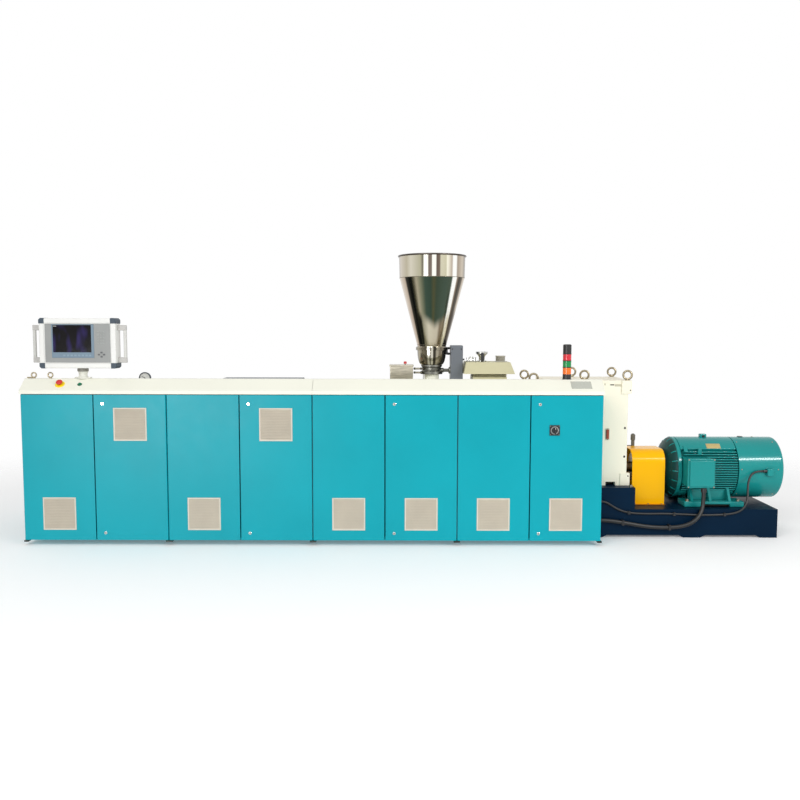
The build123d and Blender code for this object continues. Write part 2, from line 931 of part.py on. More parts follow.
# End shield: a dished casting with radial ribs
with BuildPart() as end_shield:
    rim_radius = motor_radius - shield_step
    slope_end = shield_left + shield_slope_share * shield_length
    rib_start = shield_left + rib_start_share * shield_length
    rib_rise = shield_left + rib_rise_share * shield_length
    with BuildSketch(Plane.XZ):
        with BuildLine():
            Polyline(
                (shield_left, shaft_z),
                (shield_left, shaft_z + shield_hub_share * shield_nose_radius),
                (shield_left + shield_nose_share * shield_length, shaft_z + shield_nose_radius),
                (slope_end, shaft_z + shield_slope_radius_share * rim_radius),
                (frame_left - shield_rim_share * shield_length, shaft_z + rim_radius),
                (frame_left, shaft_z + rim_radius),
                (frame_left, shaft_z),
                close=True,
            )
        make_face()
    revolve(axis=Axis((0, 0, shaft_z), (1, 0, 0)))
    for n in range(shield_rib_count):
        turn = 2 * pi * n / shield_rib_count
        rib_plane = Plane(origin=(0, 0, shaft_z), x_dir=(1, 0, 0), z_dir=(0, cos(turn), sin(turn)))
        with BuildSketch(rib_plane):
            with BuildLine():
                Polyline(
                    (rib_start, shield_hub_share * shield_nose_radius),
                    (rib_rise, rib_shoulder_share * shield_nose_radius),
                    (frame_left - rib_rim_share * shield_length, rim_radius),
                    (frame_left, rim_radius),
                    (frame_left, shield_hub_share * shield_nose_radius),
                    close=True,
                )
            make_face()
        extrude(amount=shield_rib_thickness / 2, both=True)
keep("motor_end_shield", end_shield.part)

with BuildPart() as cowl:
    rod((cowl_left, 0, shaft_z), (1, 0, 0), motor_radius, cowl_length)
    fillet(cowl.edges().filter_by(GeomType.CIRCLE).sort_by(Axis.X)[-1], cowl_corner)
    rod((motor_right, 0, shaft_z), (-1, 0, 0), inlet_radius, inlet_depth, Mode.SUBTRACT)
keep("motor_cowl", cowl.part)

# Terminal box and blower box on the front of the motor
terminal_left = frame_left + terminal_from_left
terminal_right = terminal_left + terminal_width
terminal_low = shaft_z - terminal_below
terminal_front = motor_radius + terminal_reach
terminal_high = shaft_z + terminal_above
blower_box_left = motor_right - blower_box_from_right - blower_box_width
blower_box_right = blower_box_left + blower_box_width
blower_box_front = motor_radius + blower_box_reach
blower_box_back = -blower_box_root_share * motor_radius
with BuildPart() as motor_boxes:
    lid_back = -terminal_front + terminal_lid
    margin = terminal_lid_margin
    terminal_back = -terminal_root_share * motor_radius
    block((terminal_left, terminal_right), (lid_back, terminal_back), (terminal_low, terminal_high))
    block(
        (terminal_left + margin, terminal_right - margin),
        (-terminal_front, lid_back),
        (terminal_low + margin, terminal_high - margin),
    )
    block(
        (blower_box_left, blower_box_right),
        (-blower_box_front, blower_box_back),
        (shaft_z - blower_box_below, shaft_z + blower_box_above),
    )
    seat = motor_radius + box_seat_gap
    rod((frame_left, 0, shaft_z), (1, 0, 0), seat, frame_length + cowl_length, Mode.SUBTRACT)
keep("motor_boxes", motor_boxes.part)

# Hopper: a rolled rim, a short cylinder and a long cone, open from top to bottom
with BuildPart() as hopper:
    rim_low = hopper_rim_z - hopper_rim_height
    with BuildSketch(Plane.XZ):
        with BuildLine():
            Polyline(
                (hopper_x + hopper_low_radius, hopper_low_z),
                (hopper_x + hopper_mid_radius, hopper_mid_z),
                (hopper_x + hopper_top_radius, rim_low),
                (hopper_x + hopper_rim_radius, rim_low),
                (hopper_x + hopper_rim_radius, hopper_rim_z),
                (hopper_x + hopper_top_radius - hopper_sheet, hopper_rim_z),
                (hopper_x + hopper_mid_radius - hopper_sheet, hopper_mid_z),
                (hopper_x + hopper_low_radius - hopper_sheet, hopper_low_z),
                close=True,
            )
        make_face()
    revolve(axis=Axis((hopper_x, 0, 0), (0, 0, 1)))
keep("hopper", hopper.part)

# Feeder bowl: a rounded shell under the clamp ring
with BuildPart() as bowl:
    bowl_waist = (ring_low + bowl_low_z) / 2
    waist_radius = bowl_low_radius + bowl_belly_share * (bowl_radius - bowl_low_radius)
    inner_radius = hopper_low_radius - hopper_sheet
    with BuildSketch(Plane.XZ):
        with BuildLine():
            Polyline(
                (hopper_x + bowl_radius, ring_low),
                (hopper_x + ring_radius, ring_low),
                (hopper_x + ring_radius, ring_top),
                (hopper_x + hopper_low_radius, hopper_low_z),
                (hopper_x + inner_radius, hopper_low_z),
                (hopper_x + bowl_radius - bowl_sheet, ring_low),
            )
            ThreePointArc(
                (hopper_x + bowl_radius - bowl_sheet, ring_low),
                (hopper_x + waist_radius - bowl_sheet, bowl_waist),
                (hopper_x + bowl_low_radius - bowl_sheet, bowl_low_z),
            )
            Line(
                (hopper_x + bowl_low_radius - bowl_sheet, bowl_low_z),
                (hopper_x + bowl_low_radius, bowl_low_z),
            )
            ThreePointArc(
                (hopper_x + bowl_low_radius, bowl_low_z),
                (hopper_x + waist_radius, bowl_waist),
                (hopper_x + bowl_radius, ring_low),
            )
        make_face()
    revolve(axis=Axis((hopper_x, 0, 0), (0, 0, 1)))
keep("feeder_bowl", bowl.part)

# Feeder base: a bored casting with its tie rods to the motor box and its drive shaft
with BuildPart() as feeder_base:
    rod((hopper_x, 0, feeder_flange_z), (0, 0, 1), feeder_radius, feeder_height)
    rod((hopper_x, 0, bowl_low_z), (0, 0, -1), bowl_low_radius, feeder_collar)
    rod((hopper_x, 0, feeder_flange_z), (0, 0, -1), feeder_radius, feeder_flange)
    for rise in tie_heights:
        tie_length = hopper_x - feed_bore_radius - feed_box_right
        rod((feed_box_right, 0, feeder_flange_z + rise), (1, 0, 0), tie_radius, tie_length)
    shaft_centre = (hopper_x, 0, feeder_flange_z + drive_shaft_rise)
    rod(shaft_centre, (1, 0, 0), drive_shaft_radius, drive_from_hopper)
    rod(
        (hopper_x, 0, feeder_flange_z - feeder_flange),
        (0, 0, 1),
        feed_bore_radius,
        feeder_height + feeder_flange,
        Mode.SUBTRACT,
    )
keep("feeder_base", feeder_base.part)

with BuildPart() as feed_box:
    half = feed_box_half_width
    box_top = deck_top + feed_box_height
    knob_x = feed_box_right - knob_from_right
    block((feed_box_left, feed_box_right), (-half, half), (deck_top, box_top))
    rod((knob_x, knob_y, box_top), (0, 0, 1), knob_stem_radius, knob_stem)
    rod((knob_x, knob_y, box_top + knob_stem), (0, 0, 1), knob_radius, knob_height)
keep("feed_motor_box", feed_box.part)

with BuildPart() as drive_cover:
    half = drive_half_width
    block((drive_left, drive_right), (-half, half), (deck_top, deck_top + drive_height))
    fillet(drive_cover.edges().filter_by(Axis.X).group_by(Axis.Z)[-1], drive_corner)
keep("feed_drive_cover", drive_cover.part)

# Vent hood: a sloping cap over a louvred box
with BuildPart() as vent_hood:
    with BuildSketch(Plane.XY.offset(vent_skirt_z)):
        with Locations((vent_skirt_left + vent_skirt_length / 2, 0)):
            Rectangle(vent_skirt_length, 2 * vent_skirt_half_width)
    with BuildSketch(Plane.XY.offset(vent_cap_z)):
        with Locations((vent_cap_left + vent_cap_length / 2, 0)):
            Rectangle(vent_cap_length, 2 * vent_cap_half_width)
    loft()
    half = vent_box_half_width
    core = half - louvre_setback
    core_span = (vent_box_left + louvre_setback, vent_box_right - louvre_setback)
    block((vent_box_left, vent_box_right), (-half, half), (deck_top, vent_box_top))
    block(core_span, (-core, core), (vent_box_top, vent_skirt_z))
    for n in range(louvre_count):
        z = vent_box_top + (n + 1) * louvre_height / (louvre_count + 1)
        slat = (z - louvre_thickness / 2, z + louvre_thickness / 2)
        block((vent_box_left, vent_box_right), (-half, half), slat)
keep("vent_hood", vent_hood.part)

# Fittings on the vent hood: a bush, a valve with its lever and a hose outlet
with BuildPart() as vent_fittings:
    up = (0, 0, 1)
    rod((vent_cap_left + bush_spot, 0, vent_cap_z), up, bush_radius, bush_height)
    valve_x = vent_cap_left + valve_spot
    rod((valve_x, 0, vent_cap_z), up, valve_radius, valve_foot)
    rod((valve_x, 0, vent_cap_z), up, valve_stem_radius, valve_height)
    cup_low = vent_cap_z + valve_height - valve_cup_height
    rod((valve_x, 0, cup_low), up, valve_cup_radius, valve_cup_height)
    lever = (-valve_lever_front, -valve_lever_front + valve_lever_thickness)
    lever_span = (valve_x - valve_lever_width / 2, valve_x + valve_lever_width / 2)
    block(lever_span, lever, (vent_cap_z, cup_low + valve_cup_height / 2))
    block(lever_span, (-valve_lever_front, 0), (cup_low, cup_low + valve_cup_height / 2))
    rod((vent_cap_left + outlet_spot, 0, vent_cap_z), up, outlet_radius, outlet_height)
keep("vent_fittings", vent_fittings.part)

# Pressure gauge beside the barrel cover
with BuildPart() as gauge:
    rod((gauge_x, -gauge_depth / 2, gauge_z), (0, 1, 0), gauge_radius, gauge_depth)
    rod((gauge_x, 0, deck_top), (0, 0, 1), gauge_stem_radius, gauge_rise)
keep("pressure_gauge", gauge.part)

# Signal tower on the hood: a foot and five lights with a groove over each
with BuildPart() as tower:
    x = cabinet_right - tower_from_right
    y = door_plane + tower_setback
    rod((x, y, hood_top), (0, 0, 1), tower_radius + tower_lip, tower_foot)
    z = hood_top + tower_foot
    for band in tower_bands:
        rod((x, y, z), (0, 0, 1), tower_radius, band - tower_lip)
        rod((x, y, z), (0, 0, 1), tower_radius - tower_lip, band)
        z += band
keep("signal_tower", tower.part)

# Post of the operator panel: a foot plate, a waisted neck and the spigot that the panel turns on
post_x = cabinet_left + post_from_left
post_y = door_plane + post_setback
with BuildPart() as post:
    block(
        (post_x - post_plate_half_length, post_x + post_plate_half_length),
        (post_y - post_plate_half_width, post_y + post_plate_half_width),
        (hood_top, hood_top + post_plate),
    )
    neck_top = collar_low - pin_clearance
    with BuildSketch(Plane.XZ.offset(-post_y)):
        with BuildLine():
            Polyline(
                (post_x, hood_top),
                (post_x + post_foot_radius, hood_top),
                (post_x + post_foot_radius, hood_top + post_plate),
                (post_x + post_waist_radius, hood_top + post_waist_low_share * post_height),
                (post_x + post_waist_radius, hood_top + post_waist_high_share * post_height),
                (post_x + post_head_radius, neck_top),
                (post_x, neck_top),
                close=True,
            )
        make_face()
    revolve(axis=Axis((post_x, post_y, 0), (0, 0, 1)))
    spigot_length = spigot_root + spigot_in_collar + spigot_in_housing
    rod((post_x, post_y, collar_low - spigot_root), (0, 0, 1), spigot_radius, spigot_length)
keep("panel_post", post.part)

# Operator panel: bars, corner blocks, face and grips
panel_left = post_x - panel_left_of_post - panel_width / 2
panel_right = panel_left + panel_width
panel_y = post_y - panel_front_of_post
panel_back = panel_y + panel_depth / 2
panel_front = panel_y - panel_depth / 2
face_back = panel_front + face_recess + face_thickness
frame_bar = corner_size + bar_past_corner
face_x = (panel_left + frame_bar, panel_right - frame_bar)
face_z = (panel_low + frame_bar, panel_high - frame_bar)
corners = ((panel_left, 1, panel_low, 1), (panel_right, -1, panel_low, 1))
corners += ((panel_left, 1, panel_high, -1), (panel_right, -1, panel_high, -1))
with BuildPart() as panel_frame:
    block((panel_left, panel_right), (panel_front, panel_back), (panel_low, panel_high))
    for x, along, z, rise in corners:
        square = ((x, x + along * corner_size), (z, z + rise * corner_size))
        block(square[0], (panel_front, panel_back), square[1], Mode.SUBTRACT)
    block(face_x, (panel_front, face_back), face_z, Mode.SUBTRACT)
    rod((post_x, post_y, collar_low), (0, 0, 1), collar_radius, collar_height)
    rod(
        (post_x, post_y, collar_low),
        (0, 0, 1),
        spigot_radius + pin_clearance,
        spigot_in_collar + spigot_in_housing + bore_spare,
        Mode.SUBTRACT,
    )
keep("panel_housing", panel_frame.part)

with BuildPart() as panel_corners:
    with BuildSketch(Plane.XZ.offset(-panel_back)):
        for x, along, z, rise in corners:
            with BuildLine():
                Polyline(
                    (x, z + rise * corner_chamfer),
                    (x + along * corner_chamfer, z),
                    (x + along * corner_size, z),
                    (x + along * corner_size, z + rise * corner_size),
                    (x, z + rise * corner_size),
                    close=True,
                )
            make_face()
    extrude(amount=panel_depth)
keep("panel_corners", panel_corners.part)

with BuildPart() as panel_face:
    block(face_x, (panel_front + face_recess, face_back), face_z)
keep("panel_face", panel_face.part)

with BuildPart() as grips:
    depth = (panel_y - grip_half_depth, panel_y + grip_half_depth)
    low_bracket = panel_low + grip_from_bottom
    high_bracket = panel_high - grip_from_top - grip_bracket
    for edge, out in ((panel_left, -1), (panel_right, 1)):
        tip = edge + out * grip_reach
        for z in (low_bracket, high_bracket):
            block((edge, tip), depth, (z, z + grip_bracket))
        bar = (tip - out * grip_bar, tip)
        block(bar, depth, (low_bracket + grip_bracket, high_bracket))
keep("panel_grips", grips.part)

# Stop and start buttons on the slope of the hood
estop_x = cabinet_left + estop_from_left
start_x = cabinet_left + start_from_left
normal = (0, -sin(slope_angle), cos(slope_angle))
button_y = door_plane + hood_slope_depth / 2
button_z = deck_top + hood_rise / 2


def on_slope(x, height):
    """Point at a height above the slope of the hood."""
    return (x, button_y + normal[1] * height, button_z + normal[2] * height)


with BuildPart() as collars:
    rod(on_slope(estop_x, 0), normal, estop_collar_radius, estop_collar_height)
    rod(on_slope(start_x, 0), normal, start_collar_radius, start_collar_height)
    for x in (estop_x, start_x):
        rod(on_slope(x, 0), normal, button_bore, estop_collar_height, Mode.SUBTRACT)
keep("button_collars", collars.part)

with BuildPart() as stop_button:
    stem_length = estop_head_base + estop_head_height - stop_stem_base
    rod(on_slope(estop_x, stop_stem_base), normal, stop_stem_radius, stem_length)
    rod(on_slope(estop_x, estop_head_base), normal, estop_head_radius, estop_head_height)
keep("stop_button", stop_button.part)

with BuildPart() as start_button:
    rod(on_slope(start_x, start_head_base), normal, start_head_radius, start_head_height)
keep("start_button", start_button.part)

# Cables from the motor to the cabinet: straight runs joined by arcs, beside the motor and the base
gland_x = terminal_left + gland_from_left
gland_y = -terminal_front + gland_from_front
gland_z = terminal_low - terminal_gland_length
blower_gland_x = blower_box_left - gland_length
blower_gland_z = shaft_z + blower_gland_rise
thick_route = [
    (gland_x, gland_y, gland_z),
    (gland_x, gland_y, 300),
    (2336, -base_half_width - 22, 225),
    (2290, -base_half_width - 50, 165),
    (2224, -base_half_width - 54, 120),
    (2132, -base_half_width - 44, 96),
    (2010, -base_half_width - 32, 90),
    (1880, -base_half_width - 30, 98),
    (1752, -base_half_width - 30, 121),
    (1640, -base_half_width - 31, 139),
    (1560, -base_half_width - 30, 148),
    (1490, -base_half_width - 30, 148),
]
thin_route = [
    (blower_gland_x, -motor_radius - 17, blower_gland_z),
    (2820, -motor_radius - 17, blower_gland_z),
    (2772, -motor_radius - 30, 502),
    (2742, -motor_radius - 52, 456),
    (2728, -motor_radius - 78, 398),
    (2718, -motor_radius - 106, 330),
    (2696, -base_half_width - 8, 266),
    (2648, -base_half_width - 16, 220),
    (2576, -base_half_width - 14, 198),
    (2470, -base_half_width - 12, 190),
    (2330, -base_half_width - 11, 188),
    (2190, -base_half_width - 11, 194),
    (2040, -base_half_width - 12, 200),
    (1900, -base_half_width - 11, 197),
    (1790, -base_half_width - 12, 201),
    (1710, -base_half_width - 11, 214),
    (1650, -base_half_width - 12, 238),
    (1596, -base_half_width - 11, 272),
    (1545, -base_half_width - 12, 300),
    (1490, -base_half_width - 12, 300),
]


def cable(name, route, diameter):
    """A tube along the route, each turn as wide as its two runs allow."""
    points = [Vector(*point) for point in route]
    radii = []
    for before, here, after in zip(points, points[1:], points[2:]):
        turn = (here - before).get_angle(after - here)
        shorter = min((here - before).length, (after - here).length)
        radii.append(turn_share * shorter / tan(radians(turn / 2)))
    with BuildPart() as piece:
        with BuildLine():
            FilletPolyline(*points, radius=radii)
        with BuildSketch(Plane(origin=points[0], z_dir=points[1] - points[0])):
            Circle(diameter / 2)
        sweep()
    keep(name, piece.part)


cable("motor_cable", thick_route, thick_cable)
cable("blower_cable", thin_route, thin_cable)


def clip(route, run, diameter):
    """A clip on the base that holds a cable at the middle of one run."""
    a, b = (Vector(*point) for point in route[run : run + 2])
    middle = (a + b) * 0.5
    reach = diameter / 2 + clip_wall
    block(
        (middle.X - clip_half_width, middle.X + clip_half_width),
        (middle.Y - reach, -base_half_width),
        (middle.Z - reach, middle.Z + reach),
    )
    start = a + (b - a) * clip_bore_start
    bore_length = (b - a).length * clip_bore_share
    rod(tuple(start), tuple(b - a), diameter / 2 + clip_clearance, bore_length, Mode.SUBTRACT)


# Glands and clips of the cables
with BuildPart() as cable_fittings:
    x, y = thick_route[0][:2]
    thick_gland = thick_cable / 2 + thick_gland_wall
    rod((x, y, terminal_low), (0, 0, -1), thick_gland, terminal_gland_length)
    y, z = thin_route[0][1:]
    rod((blower_box_left, y, z), (-1, 0, 0), thin_cable / 2 + thin_gland_wall, gland_length)
    for route, diameter in ((thick_route, thick_cable), (thin_route, thin_cable)):
        y, z = route[-1][1:]
        rod((cabinet_right, y, z), (1, 0, 0), diameter / 2 + thin_gland_wall, gland_length)
    for run in (5, 8):
        clip(thick_route, run, thick_cable)
    for run in (8, 11, 14):
        clip(thin_route, run, thin_cable)
keep("cable_fittings", cable_fittings.part)
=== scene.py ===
import json
import math

import bmesh
import bpy
from mathutils import Matrix, Vector


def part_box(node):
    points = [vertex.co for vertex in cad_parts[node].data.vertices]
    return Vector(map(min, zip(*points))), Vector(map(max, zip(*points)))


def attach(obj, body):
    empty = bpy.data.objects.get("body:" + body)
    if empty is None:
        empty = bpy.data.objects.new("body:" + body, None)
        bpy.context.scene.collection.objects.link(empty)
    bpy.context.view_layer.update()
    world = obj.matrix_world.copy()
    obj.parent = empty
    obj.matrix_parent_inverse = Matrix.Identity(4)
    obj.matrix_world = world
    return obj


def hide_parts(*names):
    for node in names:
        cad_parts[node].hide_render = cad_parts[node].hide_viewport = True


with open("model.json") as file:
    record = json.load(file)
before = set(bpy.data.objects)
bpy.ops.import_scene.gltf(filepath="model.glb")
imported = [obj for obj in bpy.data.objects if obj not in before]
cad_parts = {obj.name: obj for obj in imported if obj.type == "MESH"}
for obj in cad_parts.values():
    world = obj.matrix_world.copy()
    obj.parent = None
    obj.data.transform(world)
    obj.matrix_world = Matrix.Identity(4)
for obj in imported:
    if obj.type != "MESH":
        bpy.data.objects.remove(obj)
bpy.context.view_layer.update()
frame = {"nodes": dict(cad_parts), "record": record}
nodes = frame["nodes"]

# Camera of the photograph, in metres and degrees
CAMERA = (-0.105, -7.16, 1.691)
CAMERA_PITCH = -4.84
CAMERA_ROLL = 0.12
CAMERA_LENS = 38.2

# The floor fades into the white background between these distances from the middle
FLOOR_NEAR = 2.2
FLOOR_FAR = 6.0
FLOOR_HALF = 60.0


# Node trees
def new_material(name):
    mat = bpy.data.materials.new(name)
    mat.use_nodes = True
    tree = mat.node_tree
    return mat, tree, tree.nodes["Principled BSDF"]


def join(tree, node, inputs):
    """Links or sets the inputs of a node."""
    for key, value in inputs.items():
        if isinstance(value, bpy.types.NodeSocket):
            tree.links.new(value, node.inputs[key])
        else:
            node.inputs[key].default_value = value


def add(tree, kind, inputs, **settings):
    """A new node with its settings and inputs. Gives its outputs."""
    node = tree.nodes.new(kind)
    for key, value in settings.items():
        setattr(node, key, value)
    join(tree, node, inputs)
    return node.outputs


def coords(tree, scale=(1, 1, 1)):
    """Object coordinates, stretched along the axes."""
    where = add(tree, "ShaderNodeTexCoord", {})["Object"]
    return add(tree, "ShaderNodeMapping", {"Scale": scale, "Vector": where})["Vector"]


def noise(tree, vector, scale, detail=3.0, rough=0.5):
    inputs = {"Vector": vector, "Scale": scale, "Detail": detail, "Roughness": rough}
    return add(tree, "ShaderNodeTexNoise", inputs)["Fac"]


def ramp(tree, fac, stops):
    """A colour ramp through (position, linear colour) stops."""
    node = tree.nodes.new("ShaderNodeValToRGB")
    while len(node.color_ramp.elements) < len(stops):
        node.color_ramp.elements.new(0.5)
    for element, (position, color) in zip(node.color_ramp.elements, stops):
        element.position = position
        element.color = (*color, 1.0)
    join(tree, node, {"Fac": fac})
    return node.outputs["Color"]


def remap(tree, value, target=(0.0, 1.0), source=(0.0, 1.0), kind="LINEAR"):
    """A value moved from its source range into the target range."""
    inputs = {"Value": value, "From Min": source[0], "From Max": source[1]}
    inputs |= {"To Min": target[0], "To Max": target[1]}
    return add(tree, "ShaderNodeMapRange", inputs, interpolation_type=kind)["Result"]


def calculate(tree, operation, a, b):
    return add(tree, "ShaderNodeMath", {0: a, 1: b}, operation=operation)[0]


def vector_math(tree, operation, *vectors):
    return add(tree, "ShaderNodeVectorMath", dict(enumerate(vectors)), operation=operation)


def separate(tree, vector):
    return add(tree, "ShaderNodeSeparateXYZ", {0: vector})


def blend(tree, fac, a, b):
    inputs = {"Factor": fac, "A": a, "B": b}
    return add(tree, "ShaderNodeMix", inputs, data_type="RGBA")["Result"]


def bump(tree, shader, height, strength, distance):
    inputs = {"Height": height, "Strength": strength, "Distance": distance}
    join(tree, shader, {"Normal": add(tree, "ShaderNodeBump", inputs)["Normal"]})


def linear(srgb):
    """A colour written as 0 to 255 in the render's own values, as linear light."""
    out = []
    for value in srgb:
        value = value / 255
        out.append(value / 12.92 if value <= 0.04045 else ((value + 0.055) / 1.055) ** 2.4)
    return tuple(out)


def shade(color, factor):
    return tuple(min(channel * factor, 1.0) for channel in color)


# Materials
def paint(name, srgb, roughness=0.35, coat=0.0, peel=0.12, spread=0.05, grime=0.06, gloss=0.2):
    """Sprayed machine paint: orange peel, faint mottling and a little dust."""
    mat, tree, shader = new_material(name)
    base = linear(srgb)
    where = coords(tree)
    mottling = [(0.3, shade(base, 1 - spread)), (0.5, base), (0.72, shade(base, 1 + spread))]
    color = ramp(tree, noise(tree, where, 1.7, 4.0), mottling)
    dust = ramp(tree, noise(tree, where, 60.0, 5.0, 0.7), [(0.62, (0, 0, 0)), (0.8, (grime, grime, grime))])
    inputs = {
        "Base Color": blend(tree, dust, color, (*shade(base, 0.55), 1.0)),
        "Roughness": remap(tree, noise(tree, where, 9.0), (roughness * 0.85, roughness * 1.2)),
        "Specular IOR Level": gloss,
        "Coat Weight": coat,
        "Coat Roughness": 0.12,
    }
    join(tree, shader, inputs)
    bump(tree, shader, noise(tree, where, 420.0, 2.0), peel, 0.0006)
    return mat


def plastic(name, srgb, roughness=0.45, grain=0.15, scale=900.0):
    """Moulded plastic with a fine grain."""
    mat, tree, shader = new_material(name)
    base = linear(srgb)
    where = coords(tree)
    color = ramp(tree, noise(tree, where, 6.0), [(0.3, shade(base, 0.94)), (0.7, shade(base, 1.05))])
    rough = remap(tree, noise(tree, where, 40.0, 2.0), (roughness * 0.9, roughness * 1.1))
    join(tree, shader, {"Base Color": color, "Roughness": rough})
    bump(tree, shader, noise(tree, where, scale, 2.0), grain, 0.0003)
    return mat


def metal(name, srgb, roughness=0.3, stretch=(1, 1, 1), scale=120.0, spread=0.12):
    """Machined or drawn metal: fine lines along one direction."""
    mat, tree, shader = new_material(name)
    base = linear(srgb)
    lines = noise(tree, coords(tree, stretch), scale, 4.0, 0.6)
    color = ramp(tree, lines, [(0.25, shade(base, 1 - spread)), (0.75, shade(base, 1 + spread))])
    rough = remap(tree, lines, (roughness * 0.75, roughness * 1.3))
    join(tree, shader, {"Base Color": color, "Metallic": 1.0, "Roughness": rough})
    bump(tree, shader, lines, 0.06, 0.0004)
    return mat


# The low painted reflection bands of the cone end in an edge that hangs down this far, in metres, at the
# cone's middle
BAND_HANG = -0.16
BAND_FOLD = 0.55


def rolled(name, roughness, stops, low_stops=None, fade=(0.0, 1.0)):
    """Polished sheet rolled round the hopper's axis, its reflections painted into the colour: bands of light
    and dark run up and down it.

    The painted reflection bands are set across the width, and low_stops take over below the fade heights.
    """
    mat, tree, shader = new_material(name)
    where = add(tree, "ShaderNodeTexCoord", {})["Object"]
    shift = vector_math(tree, "SUBTRACT", where, (HOPPER_X / 1000, 0, 0))["Vector"]
    flat = vector_math(tree, "MULTIPLY", shift, (1, 1, 0))["Vector"]
    direction = vector_math(tree, "NORMALIZE", flat)["Vector"]
    across = remap(tree, separate(tree, direction)["X"], source=(-1, 1))
    color = ramp(tree, across, [(at, linear(tone)) for at, tone in stops])
    if low_stops:
        low = ramp(tree, across, [(at, linear(tone)) for at, tone in low_stops])
        bowed = calculate(tree, "PINGPONG", across, BAND_FOLD)
        edge = remap(tree, bowed, (BAND_HANG, 0), (0, BAND_FOLD))
        lifted = calculate(tree, "ADD", separate(tree, where)["Z"], edge)
        color = blend(tree, remap(tree, lifted, source=fade, kind="SMOOTHSTEP"), low, color)
    lines = noise(tree, coords(tree, (1, 1, 0.02)), 300.0, 2.0)
    rough = remap(tree, lines, (roughness * 0.8, roughness * 1.4))
    join(tree, shader, {"Base Color": color, "Metallic": 1.0, "Roughness": rough})
    bump(tree, shader, lines, 0.04, 0.0004)
    return mat


def glassy(name, srgb, glow):
    """Dark display glass with faint violet patches under it."""
    mat, tree, shader = new_material(name)
    patch = noise(tree, coords(tree, (14, 1, 5)), 1.0, 1.0)
    color = ramp(tree, patch, [(0.5, linear(srgb)), (0.68, linear(glow))])
    rough = remap(tree, noise(tree, coords(tree), 30.0), (0.08, 0.16))
    join(tree, shader, {"Base Color": color, "Roughness": rough, "Specular IOR Level": 0.1})
    bump(tree, shader, noise(tree, coords(tree), 200.0), 0.02, 0.0002)
    return mat


HOPPER_X = 161.0

# Painted reflections of the hopper and the bowl, as bands: place across the width and colour
COLLAR_REFLECTIONS = [
    (0.0, (96, 82, 70)), (0.02, (206, 197, 182)), (0.11, (188, 180, 158)), (0.17, (214, 208, 190)),
    (0.31, (178, 174, 148)), (0.345, (88, 82, 68)), (0.37, (255, 255, 240)), (0.415, (250, 250, 236)),
    (0.43, (116, 104, 96)), (0.475, (128, 116, 106)), (0.485, (255, 255, 246)), (0.535, (255, 255, 246)),
    (0.55, (104, 90, 80)), (0.595, (120, 106, 94)), (0.61, (208, 203, 178)), (0.69, (198, 193, 166)),
    (0.71, (244, 240, 220)), (0.78, (186, 172, 156)), (0.8, (255, 255, 250)), (0.845, (255, 255, 250)),
    (0.865, (166, 152, 136)), (0.94, (206, 194, 176)), (1.0, (74, 64, 54)),
]
CONE_REFLECTIONS = [
    (0.0, (214, 202, 186)), (0.07, (188, 172, 154)), (0.09, (44, 42, 36)), (0.165, (30, 34, 30)),
    (0.2, (96, 92, 74)), (0.24, (166, 158, 134)), (0.29, (128, 128, 104)), (0.34, (84, 92, 74)),
    (0.37, (58, 74, 62)), (0.46, (52, 68, 56)), (0.51, (76, 76, 52)), (0.56, (58, 70, 56)),
    (0.7, (66, 80, 68)), (0.785, (74, 86, 72)), (0.805, (255, 255, 250)), (0.855, (255, 255, 250)),
    (0.87, (146, 130, 112)), (0.9, (64, 60, 52)), (0.945, (92, 84, 70)), (0.96, (182, 166, 146)),
    (1.0, (214, 204, 188)),
]
LOW_CONE_REFLECTIONS = [
    (0.0, (206, 192, 176)), (0.07, (176, 158, 140)), (0.09, (52, 50, 42)), (0.24, (36, 38, 32)),
    (0.28, (150, 144, 122)), (0.4, (196, 188, 166)), (0.62, (184, 174, 154)), (0.68, (118, 104, 84)),
    (0.77, (150, 138, 116)), (0.805, (250, 248, 236)), (0.855, (236, 232, 216)), (0.875, (84, 74, 60)),
    (0.95, (60, 52, 42)), (1.0, (150, 134, 114)),
]
BOWL_REFLECTIONS = [
    (0.0, (70, 64, 54)), (0.05, (176, 168, 148)), (0.17, (120, 112, 94)), (0.3, (86, 80, 66)),
    (0.38, (224, 220, 204)), (0.42, (64, 58, 48)), (0.5, (236, 232, 216)), (0.54, (84, 78, 66)),
    (0.6, (44, 42, 36)), (0.66, (170, 162, 142)), (0.78, (122, 114, 98)), (0.9, (150, 142, 124)),
    (0.96, (40, 38, 34)), (1.0, (30, 30, 28)),
]

TEAL = (6, 161, 175)
CREAM = (242, 242, 228)
WARM_CREAM = (250, 243, 222)
NAVY = (4, 30, 52)
GREEN = (26, 142, 140)
YELLOW = (255, 188, 0)

teal = paint("teal_paint", TEAL, 0.33, gloss=0.16)
cream = paint("cream_paint", CREAM, 0.4, spread=0.02, grime=0.03)
warm_cream = paint("warm_cream_paint", WARM_CREAM, 0.4, spread=0.02, grime=0.03)
navy = paint("navy_paint", NAVY, 0.36, spread=0.12, gloss=0.06)
green = paint("green_enamel", GREEN, 0.17, coat=0.15, peel=0.25, gloss=0.15)
yellow = paint("yellow_paint", YELLOW, 0.2, coat=0.1, spread=0.03, gloss=0.1)
grey = paint("grey_paint", (112, 117, 124), 0.4)
beige = paint("vent_paint", (205, 200, 165), 0.45, spread=0.04)
vent_plastic = plastic("vent_plastic", (196, 186, 168), 0.5)
rim_plastic = plastic("rim_plastic", (214, 206, 190), 0.5)
stainless = metal("stainless", (190, 185, 172), 0.16, (1, 1, 0.03), 60.0)
steel = metal("steel", (160, 155, 140), 0.3, (1, 1, 1), 90.0)
dark_steel = metal("dark_steel", (70, 72, 70), 0.35)
aluminium = paint("white_aluminium", (236, 236, 232), 0.35, spread=0.02, grime=0.02)
navy_plastic = plastic("navy_plastic", (35, 55, 70), 0.5)
